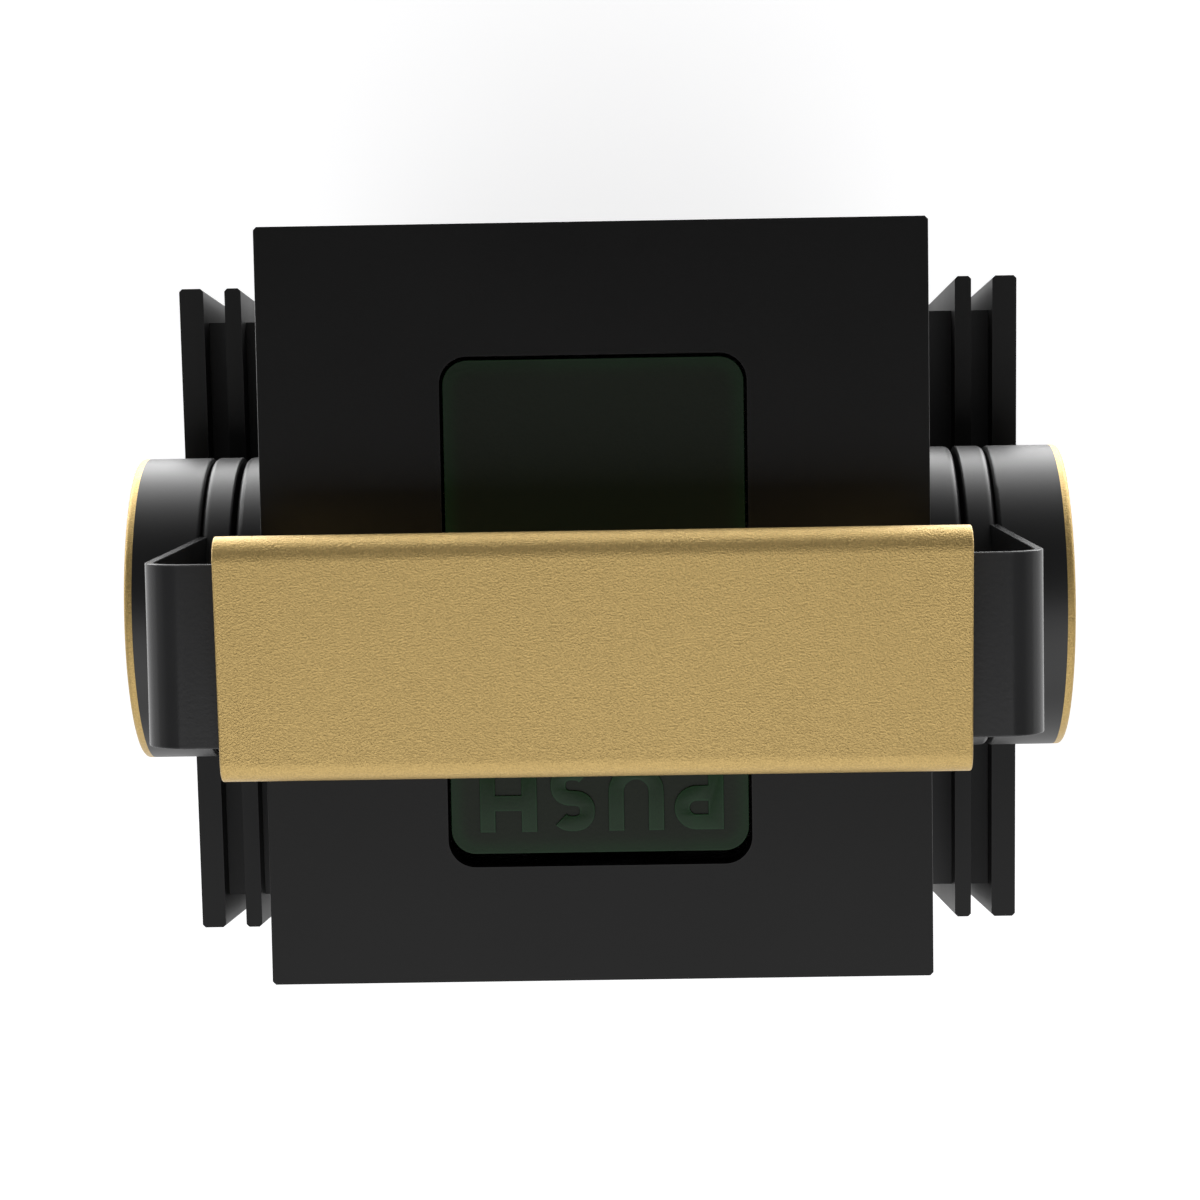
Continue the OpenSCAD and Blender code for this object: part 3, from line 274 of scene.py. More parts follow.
def makeBrushGroup():
    # brushed lines: noise drawn out along the direction whose stretch is small
    group, into, out = newGroup("brushedLines", [("Stretch", vector, (40.0, 2400.0, 2400.0))],
                                [("Height", number), ("Streak", number)])
    place = group.nodes.new("ShaderNodeTexCoord")
    drawn = group.nodes.new("ShaderNodeVectorMath")
    drawn.operation = "MULTIPLY"
    group.links.new(place.outputs["Object"], drawn.inputs[0])
    group.links.new(into.outputs["Stretch"], drawn.inputs[1])
    lines = put(group, "ShaderNodeTexNoise", Scale=1.0, Detail=3.0, Roughness=0.65)
    streak = put(group, "ShaderNodeTexNoise", Scale=0.22, Detail=2.0, Roughness=0.5)
    for node in (lines, streak):
        group.links.new(drawn.outputs[0], node.inputs["Vector"])
    group.links.new(lines.outputs["Fac"], out.inputs["Height"])
    group.links.new(streak.outputs["Fac"], out.inputs["Streak"])
    return group


def makeDustGroup():
    # a few pale specks on what faces up
    sizes = [("Scale", number, 260.0), ("Size", number, 0.07), ("Share", number, 0.12)]
    group, into, out = newGroup("dustSpecks", sizes, [("Mask", number)])
    facingUp = 0.8  # how upright a normal has to be
    place = group.nodes.new("ShaderNodeTexCoord")
    cells = put(group, "ShaderNodeTexVoronoi", Randomness=1.0)
    group.links.new(place.outputs["Object"], cells.inputs["Vector"])
    group.links.new(into.outputs["Scale"], cells.inputs["Scale"])
    split = group.nodes.new("ShaderNodeSeparateColor")
    group.links.new(cells.outputs["Color"], split.inputs[0])
    near = calc(group, "LESS_THAN", cells.outputs["Distance"], into.outputs["Size"])
    picked = calc(group, "LESS_THAN", split.outputs[0], into.outputs["Share"])
    facing = group.nodes.new("ShaderNodeSeparateXYZ")
    group.links.new(place.outputs["Normal"], facing.inputs[0])
    upward = calc(group, "GREATER_THAN", facing.outputs["Z"], facingUp)
    speck = calc(group, "MULTIPLY", near, picked)
    group.links.new(calc(group, "MULTIPLY", speck, upward), out.inputs["Mask"])
    return group


def makeEdgeMaskGroup():
    # a patchy mask of edges, where the rounded normal leaves the flat one: for wear and a painted highlight
    # on the black coats, for a painted glow and a painted rim on the green paddle
    sizes = [("Radius", number, 0.0006), ("Break", number, 140.0)]
    group, into, out = newGroup("patchyEdgeMask", sizes, [("Mask", number)])
    gain = 6.0  # how soon a turned normal counts in full
    rounded = group.nodes.new("ShaderNodeBevel")
    rounded.samples = 6
    group.links.new(into.outputs["Radius"], rounded.inputs["Radius"])
    flat = group.nodes.new("ShaderNodeNewGeometry")
    dot = group.nodes.new("ShaderNodeVectorMath")
    dot.operation = "DOT_PRODUCT"
    group.links.new(rounded.outputs[0], dot.inputs[0])
    group.links.new(flat.outputs["Normal"], dot.inputs[1])
    bent = calc(group, "MULTIPLY", calc(group, "SUBTRACT", 1.0, dot.outputs["Value"]), gain, True)
    place = group.nodes.new("ShaderNodeTexCoord")
    patch = put(group, "ShaderNodeTexNoise", Detail=4.0, Roughness=0.6)
    group.links.new(place.outputs["Object"], patch.inputs["Vector"])
    group.links.new(into.outputs["Break"], patch.inputs["Scale"])
    group.links.new(calc(group, "MULTIPLY", bent, patch.outputs["Fac"], True), out.inputs["Mask"])
    return group


groups = {
    "peel": makePeelGroup(),
    "grain": makeGrainGroup(),
    "brush": makeBrushGroup(),
    "dust": makeDustGroup(),
    "edgeMask": makeEdgeMaskGroup(),
}
print("shader groups:", ", ".join(groups))

noiseRange = (0.3, 0.7)  # where nearly all values of a noise lie


class Finish:
    # one material with its shader, and short ways to feed it
    def __init__(self, name, **sockets):
        self.mat = bpy.data.materials.new(name)
        self.mat.use_nodes = True
        self.tree = self.mat.node_tree
        self.shader = setSockets(self.tree.nodes["Principled BSDF"], sockets)

    def group(self, key, **values):
        node = self.tree.nodes.new("ShaderNodeGroup")
        node.node_tree = groups[key]
        return setSockets(node, values)

    def tint(self, mask, low, high):
        mix = self.tree.nodes.new("ShaderNodeMix")
        mix.data_type = "RGBA"
        self.tree.links.new(mask, mix.inputs[0])
        for socket, value in ((mix.inputs[6], low), (mix.inputs[7], high)):
            if isinstance(value, tuple):
                socket.default_value = (*value, 1.0)
            else:
                self.tree.links.new(value, socket)
        return mix.outputs[2]

    def spread(self, mask, low, high):
        least, most = noiseRange
        node = put(self.tree, "ShaderNodeMapRange", From_Min=least, From_Max=most, To_Min=low, To_Max=high)
        self.tree.links.new(mask, node.inputs["Value"])
        return node.outputs["Result"]

    def feed(self, socket, source):
        self.tree.links.new(source, self.shader.inputs[socket])

    def bump(self, height, depth):
        node = put(self.tree, "ShaderNodeBump", Strength=1.0, Distance=depth)
        self.tree.links.new(height, node.inputs["Height"])
        self.tree.links.new(node.outputs[0], self.shader.inputs["Normal"])


def coatedMetal(name, kit):
    # anodised or painted black: fine grain, slow clouds, pale edges that are partly wear and partly a painted
    # highlight, a few specks of dust
    finish = Finish(name, Metallic=kit["metallic"], IOR=kit["ior"])
    grain = finish.group("grain", Scale=kit["grain"], Cloud_Scale=kit["cloud"])
    edgeMask = finish.group("edgeMask", Radius=kit["edgeMaskRadius"])
    dust = finish.group("dust", Scale=kit["dustScale"], Share=kit["dustShare"])
    body = finish.tint(grain.outputs["Cloud"], kit["dark"], kit["light"])
    # the pale edges: partly wear, partly a painted highlight
    wearAndGlintShare = calc(finish.tree, "MULTIPLY", edgeMask.outputs["Mask"], kit["wearAndGlintAmount"])
    withWearAndGlint = finish.tint(wearAndGlintShare, body, kit["wearAndGlintColor"])
    finish.feed("Base Color", finish.tint(dust.outputs["Mask"], withWearAndGlint, kit["dustColor"]))
    finish.feed("Roughness", finish.spread(grain.outputs["Cloud"], *kit["rough"]))
    finish.bump(grain.outputs["Height"], kit["depth"])
    return finish.mat


coats = {
    "blackBody": {
        "dark": (0.0020, 0.0019, 0.0021), "light": (0.0030, 0.0029, 0.0031), "metallic": 0.0,
        "ior": 1.37, "rough": (0.30, 0.36), "grain": 2400.0, "cloud": 18.0, "depth": 0.000012,
        "edgeMaskRadius": 0.0006, "wearAndGlintAmount": 0.20, "wearAndGlintColor": (0.05, 0.05, 0.052), "dustScale": 120.0,
        "dustShare": 0.035, "dustColor": (0.07, 0.07, 0.07),
    },
    "blackFin": {
        "dark": (0.0036, 0.0036, 0.0039), "light": (0.0050, 0.0050, 0.0054), "metallic": 0.0,
        "ior": 1.35, "rough": (0.38, 0.45), "grain": 2600.0, "cloud": 24.0, "depth": 0.000010,
        "edgeMaskRadius": 0.0006, "wearAndGlintAmount": 0.20, "wearAndGlintColor": (0.05, 0.05, 0.052), "dustScale": 150.0,
        "dustShare": 0.02, "dustColor": (0.06, 0.06, 0.06),
    },
    "blackHub": {
        "dark": (0.0128, 0.0128, 0.0134), "light": (0.0160, 0.0160, 0.0167), "metallic": 0.0,
        "ior": 1.56, "rough": (0.38, 0.44), "grain": 2200.0, "cloud": 30.0, "depth": 0.000006,
        "edgeMaskRadius": 0.0005, "wearAndGlintAmount": 0.15, "wearAndGlintColor": (0.05, 0.05, 0.052), "dustScale": 160.0,
        "dustShare": 0.02, "dustColor": (0.08, 0.08, 0.08),
    },
    "blackStrap": {
        # its bright pale edges are mostly a painted highlight
        "dark": (0.0215, 0.0216, 0.0225), "light": (0.0265, 0.0266, 0.0276), "metallic": 0.0,
        "ior": 1.36, "rough": (0.17, 0.23), "grain": 1300.0, "cloud": 40.0, "depth": 0.000012,
        "edgeMaskRadius": 0.0005, "wearAndGlintAmount": 0.7, "wearAndGlintColor": (0.30, 0.30, 0.31), "dustScale": 240.0,
        "dustShare": 0.05, "dustColor": (0.16, 0.16, 0.16),
    },
    "finCore": {
        # painted light: a lighter grey than the spacers' own, standing in for stray light in the deep gaps
        # between the fins
        "dark": (0.0400, 0.0400, 0.0410), "light": (0.0480, 0.0480, 0.0490), "metallic": 0.0,
        "ior": 1.40, "rough": (0.62, 0.70), "grain": 1800.0, "cloud": 30.0, "depth": 0.000014,
        "edgeMaskRadius": 0.0004, "wearAndGlintAmount": 0.05, "wearAndGlintColor": (0.03, 0.03, 0.03), "dustScale": 160.0,
        "dustShare": 0.02, "dustColor": (0.05, 0.05, 0.05),
    },
    "blackPlastic": {
        "dark": (0.0095, 0.0095, 0.0098), "light": (0.0140, 0.0140, 0.0143), "metallic": 0.0,
        "ior": 1.46, "rough": (0.44, 0.56), "grain": 1500.0, "cloud": 34.0, "depth": 0.000022,
        "edgeMaskRadius": 0.0005, "wearAndGlintAmount": 0.1, "wearAndGlintColor": (0.05, 0.05, 0.05), "dustScale": 180.0,
        "dustShare": 0.02, "dustColor": (0.08, 0.08, 0.08),
    },
    "blackScrew": {
        "dark": (0.012, 0.012, 0.012), "light": (0.022, 0.022, 0.022), "metallic": 0.55, "ior": 1.50,
        "rough": (0.30, 0.42), "grain": 2400.0, "cloud": 120.0, "depth": 0.000006, "edgeMaskRadius": 0.0004,
        "wearAndGlintAmount": 0.5, "wearAndGlintColor": (0.16, 0.16, 0.16), "dustScale": 200.0, "dustShare": 0.01,
        "dustColor": (0.08, 0.08, 0.08),
    },
    "blackRubber": {
        "dark": (0.0080, 0.0080, 0.0080), "light": (0.0130, 0.0130, 0.0130), "metallic": 0.0,
        "ior": 1.50, "rough": (0.72, 0.82), "grain": 1200.0, "cloud": 60.0, "depth": 0.000030,
        "edgeMaskRadius": 0.0006, "wearAndGlintAmount": 0.12, "wearAndGlintColor": (0.04, 0.04, 0.04), "dustScale": 200.0,
        "dustShare": 0.03, "dustColor": (0.06, 0.06, 0.06),
    },
    "magnetCoat": {
        "dark": (0.03, 0.03, 0.032), "light": (0.045, 0.045, 0.048), "metallic": 0.6, "ior": 1.50,
        "rough": (0.38, 0.46), "grain": 2000.0, "cloud": 80.0, "depth": 0.000008, "edgeMaskRadius": 0.0005,
        "wearAndGlintAmount": 0.4, "wearAndGlintColor": (0.25, 0.25, 0.25), "dustScale": 200.0, "dustShare": 0.01,
        "dustColor": (0.08, 0.08, 0.08),
    },
}

goldSkin = {
    "dark": (0.515, 0.354, 0.129), "light": (0.765, 0.540, 0.207), "metallic": 0.70, "rough": (0.29, 0.35),
    "scale": 3200.0, "stretch": 1.15, "fine": 0.55, "depth": 0.00024,
}


def goldMaterial(kit):
    finish = Finish("goldCoat", Metallic=kit["metallic"])
    peel = finish.group("peel", Scale=kit["scale"], Stretch=kit["stretch"], Fine=kit["fine"])
    # painted shade of the skin's relief: darker in its hollows, lighter on its crests
    tone = finish.spread(peel.outputs["Height"], 0.0, 1.0)
    finish.feed("Base Color", finish.tint(tone, kit["dark"], kit["light"]))
    finish.feed("Roughness", finish.spread(peel.outputs["Cloud"], *kit["rough"]))
    finish.bump(peel.outputs["Height"], kit["depth"])
    return finish.mat


# painted light: the plastic is painted greener near its edges and in the raised letters, standing in for
# light that comes through it, and paler on a thin rim, a painted highlight
greenSkin = {
    "dark": (0.0044, 0.0092, 0.0030), "light": (0.0060, 0.0122, 0.0042), "ior": 1.34, "rough": (0.34, 0.42),
    "grain": 1500.0, "cloud": 26.0, "depth": 0.000020, "patch": 60.0, "glowWidth": 0.0060,
    "glow": (0.0050, 0.0480, 0.0110), "rimWidth": 0.0007, "rim": (0.020, 0.072, 0.030),
}


def greenMaterial(kit):
    finish = Finish("greenPaddle", IOR=kit["ior"])
    grain = finish.group("grain", Scale=kit["grain"], Cloud_Scale=kit["cloud"])
    wide = finish.group("edgeMask", Radius=kit["glowWidth"], Break=kit["patch"])
    thin = finish.group("edgeMask", Radius=kit["rimWidth"], Break=kit["patch"])
    body = finish.tint(grain.outputs["Cloud"], kit["dark"], kit["light"])
    # painted glow near the edges and in the letters, then a painted highlight on a thin rim
    withPaintedGlow = finish.tint(wide.outputs["Mask"], body, kit["glow"])
    finish.feed("Base Color", finish.tint(thin.outputs["Mask"], withPaintedGlow, kit["rim"]))
    finish.feed("Roughness", finish.spread(grain.outputs["Cloud"], *kit["rough"]))
    finish.bump(grain.outputs["Height"], kit["depth"])
    return finish.mat


steelSkin = {
    "dark": (0.47, 0.47, 0.48), "light": (0.62, 0.62, 0.63), "rough": (0.20, 0.34), "depth": 0.000006,
    "steelAcross": (40.0, 2400.0, 2400.0),  # brushed along X
    "steelUpright": (2400.0, 2400.0, 40.0),  # brushed along Z
}


def steelMaterial(name, kit):
    finish = Finish(name, Metallic=1.0)
    brush = finish.group("brush", Stretch=kit[name])
    finish.feed("Base Color", finish.tint(brush.outputs["Streak"], kit["dark"], kit["light"]))
    finish.feed("Roughness", finish.spread(brush.outputs["Height"], *kit["rough"]))
    finish.bump(brush.outputs["Height"], kit["depth"])
    return finish.mat


clearSkin = {
    "color": (0.93, 0.96, 0.97, 1.0), "ior": 1.49, "through": 0.92, "rough": (0.06, 0.14),
    "grain": 90.0, "cloud": 14.0, "depth": 0.00002,
}


def clearMaterial(kit):
    finish = Finish("clearPlastic", Base_Color=kit["color"], IOR=kit["ior"],
                    Transmission_Weight=kit["through"])
    grain = finish.group("grain", Scale=kit["grain"], Cloud_Scale=kit["cloud"])
    finish.feed("Roughness", finish.spread(grain.outputs["Cloud"], *kit["rough"]))
    finish.bump(grain.outputs["Height"], kit["depth"])
    return finish.mat


mats = {key: coatedMetal(key, kit) for key, kit in coats.items()}
mats["gold"] = goldMaterial(goldSkin)
mats["green"] = greenMaterial(greenSkin)
for key in ("steelAcross", "steelUpright"):
    mats[key] = steelMaterial(key, steelSkin)
mats["clear"] = clearMaterial(clearSkin)
print("materials:", len(mats))


# what each node of the frame wears
wear = {
    "blackBody": ["base_plate", "front_panel", "side_panel_left", "side_panel_right", "head_shell",
                  "rear_door"],
    "blackFin": ["fin_inner_left", "fin_inner_right", "fin_outer_left", "fin_outer_right"],
    "finCore": ["fin_spacer_inner_left", "fin_spacer_inner_right", "fin_spacer_outer_left",
                "fin_spacer_outer_right"],
    "blackHub": ["hub_boss_left", "hub_boss_right", "hub_flange_left", "hub_flange_right", "hub_drum_left",
                 "hub_drum_right", "hub_cap_left", "hub_cap_right"],
    "blackStrap": ["handle_strap"],
    "gold": ["handle_sleeve", "hub_trim_left", "hub_trim_right", "door_knob"],
    "green": ["push_paddle"],
    "blackPlastic": ["niche_liner", "drip_tray", "pump_cap", "tank_cap", "piston", "outlet_hose"],
    "blackScrew": ["fin_screws", "paddle_brackets", "paddle_pin"],
    "steelAcross": ["pump_deck", "pivot_bolts", "pivot_nuts", "outlet_barb", "hub_dowels", "door_strike",
                    "drip_grille"],
    "steelUpright": ["spout", "tie_rods", "tie_nuts", "door_pins", "return_spring", "plunger_rod"],
    "clear": ["tank", "dip_tube", "valve_block", "pump_cylinder"],
    "blackRubber": ["feet", "hub_washers", "inlet_valve", "outlet_valve", "piston_seal"],
    "magnetCoat": ["door_magnet"],
}
coatOf = {}
for key, names in wear.items():
    for name in names:
        coatOf[name] = mats[key]
        nodes[name].data.materials.clear()
        nodes[name].data.materials.append(mats[key])
print("dressed", sum(len(names) for names in wear.values()), "nodes")


bodyOf = {name: body for body, names in frame["record"]["behaviour"]["bodies"].items() for name in names}


def standFor(piece, name):
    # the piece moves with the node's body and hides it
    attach(piece, bodyOf[name])
    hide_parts(name)


sharpFrom = {"plain": 38.0, "word": 50.0}  # degrees: an edge that turns further stays sharp


def smooth(mesh, angle):
    mesh.polygons.foreach_set("use_smooth", [True] * len(mesh.polygons))
    mesh.set_sharp_from_angle(angle=math.radians(angle))


def settle(piece):
    # bake the modifiers into a plain mesh, smooth but for sharp edges
    bpy.context.view_layer.update()
    graph = bpy.context.evaluated_depsgraph_get()
    grown = piece.evaluated_get(graph)
    mesh = bpy.data.meshes.new_from_object(grown, preserve_all_data_layers=True, depsgraph=graph)
    piece.modifiers.clear()
    old, piece.data = piece.data, mesh
    bpy.data.meshes.remove(old)
    smooth(mesh, sharpFrom["plain"])


def newPiece(name, mesh, mat):
    piece = bpy.data.objects.new(name, mesh)
    scene.collection.objects.link(piece)
    mesh.materials.clear()
    mesh.materials.append(mat)
    return piece


# edges that a hand or a file has rounded: millimetres, steps, and which edges
softEdges = {
    "handle_strap": {"round": 0.42, "steps": 3, "edges": "all"},
    "handle_sleeve": {"round": 0.35, "steps": 3, "edges": "all"},
    "push_paddle": {"round": 0.16, "steps": 2, "edges": "top"},
    "head_shell": {"round": 0.14, "steps": 2, "edges": "outside"},
    "base_plate": {"round": 0.40, "steps": 2, "edges": "outside"},
    "front_panel": {"round": 0.30, "steps": 2, "edges": "outside"},
    "side_panel_left": {"round": 0.30, "steps": 2, "edges": "outside"},
    "side_panel_right": {"round": 0.30, "steps": 2, "edges": "outside"},
    "rear_door": {"round": 0.50, "steps": 3, "edges": "outside"},
    "drip_tray": {"round": 0.50, "steps": 3, "edges": "outside"},
}

edgeRules = {
    "weld": 1e-6,  # metres: points closer than this are one
    "flat": 0.3,  # degrees: faces that turn less are one
    "outer": 3e-6,  # metres: how far anything may stand out past an outer face
    "upward": 0.9,  # how upright the normal of a top face is
    "turn": 55.0,  # degrees: an edge that turns less isn't rounded
    "reweld": 1e-7,  # metres: the same as weld, after the rounding
}


def isOuter(face, verts, slack):
    # nothing of the piece stands out past the face
    return all((v.co - face.verts[0].co).dot(face.normal) < slack for v in verts)


def pickEdges(bm, which, rules):
    bm.normal_update()
    outer = {face for face in bm.faces if which != "all" and isOuter(face, bm.verts, rules["outer"])}
    top = {face for face in outer if face.normal.z > rules["upward"]}
    least = math.radians(rules["turn"])
    picked = []
    for edge in bm.edges:
        if len(edge.link_faces) != 2 or not edge.is_convex or edge.calc_face_angle(0.0) < least:
            continue
        sides = set(edge.link_faces)
        if which == "all" or (which == "top" and sides & top) or (which == "outside" and sides <= outer):
            picked.append(edge)
    return picked


def softenNode(name, kit, rules):
    mesh = nodes[name].data.copy()
    mesh.name = name + ".soft"
    bm = bmesh.new()
    bm.from_mesh(mesh)
    bmesh.ops.remove_doubles(bm, verts=bm.verts, dist=rules["weld"])
    bmesh.ops.dissolve_limit(bm, angle_limit=math.radians(rules["flat"]), verts=bm.verts, edges=bm.edges)
    picked = pickEdges(bm, kit["edges"], rules)
    bmesh.ops.bevel(bm, geom=picked, offset=kit["round"] * mm, offset_type="OFFSET", segments=kit["steps"],
                    profile=0.5, affect="EDGES", clamp_overlap=True, material=-1, loop_slide=True)
    bmesh.ops.remove_doubles(bm, verts=bm.verts, dist=rules["reweld"])
    bm.to_mesh(mesh)
    bm.free()
    piece = newPiece(name + ".soft", mesh, coatOf[name])
    smooth(mesh, sharpFrom["plain"])
    even = piece.modifiers.new("even", "WEIGHTED_NORMAL")
    even.keep_sharp = True
    settle(piece)
    standFor(piece, name)
    return len(picked)


for name, kit in softEdges.items():
    print("softened", name, "on", softenNode(name, kit, edgeRules), "edges")


class NodeTree:
    # a geometry tree with named inputs, and short ways to add nodes
    def __init__(self, name, inputs):
        self.tree = bpy.data.node_groups.new(name, "GeometryNodeTree")
        face = self.tree.interface
        face.new_socket(name="Geometry", in_out="INPUT", socket_type="NodeSocketGeometry")
        for label, kind in inputs:
            face.new_socket(name=label, in_out="INPUT", socket_type=kind)
        face.new_socket(name="Geometry", in_out="OUTPUT", socket_type="NodeSocketGeometry")
        self.into = self.tree.nodes.new("NodeGroupInput")
        self.out = self.tree.nodes.new("NodeGroupOutput")

    def size(self, label):
        return self.into.outputs[label]

    def add(self, kind, values=(), **settings):
        node = self.tree.nodes.new(kind)
        for key, value in settings.items():
            setattr(node, key, value)
        for key, value in dict(values).items():
            socket = node.inputs[key]
            if isinstance(value, bpy.types.NodeSocket):
                self.tree.links.new(value, socket)
            else:
                socket.default_value = value
        return node

    def math(self, operation, a, b=0.0):
        return self.add("ShaderNodeMath", {0: a, 1: b}, operation=operation).outputs[0]

    def half(self, label):
        return self.math("DIVIDE", self.size(label), 2.0)

    def position(self, axis):
        place = self.add("GeometryNodeInputPosition").outputs[0]
        return self.add("ShaderNodeSeparateXYZ", {0: place}).outputs[axis]

    def cylinder(self, sides, radius, length):
        values = {"Vertices": sides, "Radius": radius, "Depth": length}
        return self.add("GeometryNodeMeshCylinder", values).outputs[0]

    def lift(self, geometry, height):
        rise = self.add("ShaderNodeCombineXYZ", {"Z": height}).outputs[0]
        return self.add("GeometryNodeTransform", {"Geometry": geometry, "Translation": rise}).outputs[0]

    def close(self, single, mat, **more):
        # one on each point, realised, dressed, and out
        values = {"Points": self.size("Geometry"), "Instance": single, **more}
        spots = self.add("GeometryNodeInstanceOnPoints", values).outputs[0]
        real = self.add("GeometryNodeRealizeInstances", {"Geometry": spots}).outputs[0]
        dressed = self.add("GeometryNodeSetMaterial", {"Geometry": real, "Material": mat}).outputs[0]
        self.tree.links.new(dressed, self.out.inputs[0])


def turned(tree, length, radiusAt, rings, sides):
    # a turned solid on Z: a straight line whose rings take their radius from their height
    rise = tree.add("ShaderNodeCombineXYZ", {"Z": length}).outputs[0]
    line = tree.add("GeometryNodeCurvePrimitiveLine", {"End": rise}).outputs[0]
    fine = tree.add("GeometryNodeResampleCurve", {"Curve": line, "Count": rings}).outputs[0]
    ring = tree.add("GeometryNodeCurvePrimitiveCircle", {"Resolution": sides, "Radius": 1.0}).outputs[0]
    radius = radiusAt(tree.position("Z"))
    swept = {"Curve": fine, "Profile Curve": ring, "Scale": radius, "Fill Caps": True}
    return tree.add("GeometryNodeCurveToMesh", swept).outputs[0]


def roundedRim(tree, height, length, radius, edge):
    # full radius up to the rim, then a quarter round
    past = tree.math("MAXIMUM", tree.math("SUBTRACT", height, tree.math("SUBTRACT", length, edge)), 0.0)
    square = tree.math("SUBTRACT", tree.math("MULTIPLY", edge, edge), tree.math("MULTIPLY", past, past))
    arc = tree.math("SQRT", tree.math("MAXIMUM", square, 0.0))
    return tree.math("ADD", tree.math("SUBTRACT", radius, edge), arc)


def growPiece(name, tree, points, sizes):
    # a bare mesh of points, the tree on it, its sizes by identifier, then a plain mesh
    mesh = bpy.data.meshes.new(name)
    mesh.from_pydata(points, [], [])
    piece = bpy.data.objects.new(name, mesh)
    scene.collection.objects.link(piece)
    grow = piece.modifiers.new("grow", "NODES")
    grow.node_group = tree.tree
    named = {item.name: item.identifier for item in tree.tree.interface.items_tree if item.in_out == "INPUT"}
    for label, value in sizes.items():
        grow[named[label]] = value
    settle(piece)
    return piece


# how finely the grown pieces are drawn: rings and sides, or sides alone
meshSteps = {"screwHead": (16, 40), "key": 6, "shank": 32, "foot": (18, 48), "turn": 36, "wire": 14}

finScrew = {
    "Head Diameter": 9.5 * mm,
    "Head Height": 2.7 * mm,
    "Edge Radius": 0.9 * mm,
    "Socket Width": 4.8 * mm,
    "Socket Depth": 1.8 * mm,
    "Shank Diameter": 5.0 * mm,
    "Shank Length": 31.5 * mm,
}
finScrewPlaces = {"across": 38.0 * mm, "rows": 3}  # to the front and to the back of the fins' middle


def makeScrewTree(kit, steps):
    shankDrop = -0.499  # of its length, so that it ends just inside the head
    tree = NodeTree("finScrew", [(label, number) for label in kit])
    radius, high, edge = tree.half("Head Diameter"), tree.size("Head Height"), tree.size("Edge Radius")
    head = turned(tree, high, lambda z: roundedRim(tree, z, high, radius, edge), *steps["screwHead"])
    deep = tree.math("MULTIPLY", tree.size("Socket Depth"), 2.0)
    key = tree.lift(tree.cylinder(steps["key"], tree.half("Socket Width"), deep), high)
    hollow = tree.add("GeometryNodeMeshBoolean", {"Mesh 1": head, "Mesh 2": key}, operation="DIFFERENCE")
    long = tree.size("Shank Length")
    shank = tree.cylinder(steps["shank"], tree.half("Shank Diameter"), long)
    lowered = tree.lift(shank, tree.math("MULTIPLY", long, shankDrop))
    join = tree.add("GeometryNodeJoinGeometry")
    tree.tree.links.new(hollow.outputs[0], join.inputs[0])
    tree.tree.links.new(lowered, join.inputs[0])
    # each screw points away from the middle
    outward = tree.add("ShaderNodeCombineXYZ", {"X": tree.position("X")}).outputs[0]
    turn = tree.add("FunctionNodeAlignRotationToVector", {"Vector": outward}, axis="Z").outputs[0]
    tree.close(join.outputs[0], coatOf["fin_screws"], Rotation=turn)
    return tree


def makeFinScrews(kit, places, steps):
    # on the outer faces of the outer fins, in even rows from the frame's lowest to its highest
    low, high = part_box("fin_screws")
    face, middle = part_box("fin_outer_right")[1][0], (low[1] + high[1]) / 2
    first, last = low[2] + kit["Head Diameter"] / 2, high[2] - kit["Head Diameter"] / 2
    rows = [first + (last - first) * i / (places["rows"] - 1) for i in range(places["rows"])]
    across = (middle - places["across"], middle + places["across"])
    points = [(x, y, z) for x in (-face, face) for y in across for z in rows]
    piece = growPiece("finScrews", makeScrewTree(kit, steps), points, kit)
    standFor(piece, "fin_screws")


makeFinScrews(finScrew, finScrewPlaces, meshSteps)

rubberFoot = {"Diameter": 20.0 * mm, "Height": 5.0 * mm, "Edge Radius": 1.4 * mm}


def makeFeet(kit, steps):
    tree = NodeTree("rubberFoot", [(label, number) for label in kit])
    radius, high, edge = tree.half("Diameter"), tree.size("Height"), tree.size("Edge Radius")
    # the round rim is the lower one, so the foot is turned upside down and hangs from the plate
    foot = turned(tree, high, lambda z: roundedRim(tree, z, high, radius, edge), *steps["foot"])
    flip = {"Geometry": foot, "Rotation": (math.pi, 0.0, 0.0)}
    tree.close(tree.add("GeometryNodeTransform", flip).outputs[0], coatOf["feet"])
    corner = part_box("feet")[1]
    x, y = corner[0] - kit["Diameter"] / 2, corner[1] - kit["Diameter"] / 2
    points = [(side * x, end * y, corner[2]) for side in (-1, 1) for end in (-1, 1)]
    piece = growPiece("rubberFeet", tree, points, kit)
    standFor(piece, "feet")


makeFeet(rubberFoot, meshSteps)

returnSpring = {"Mean Diameter": 22.0 * mm, "Wire": 2.0 * mm, "Turns": 6.0}
springFit = {
    "gap": 0.3 * mm,  # above the pump's cap
    "length": 27.94 * mm,
    "pressed": 0.5687,  # the share of its length that is left when pressed
}


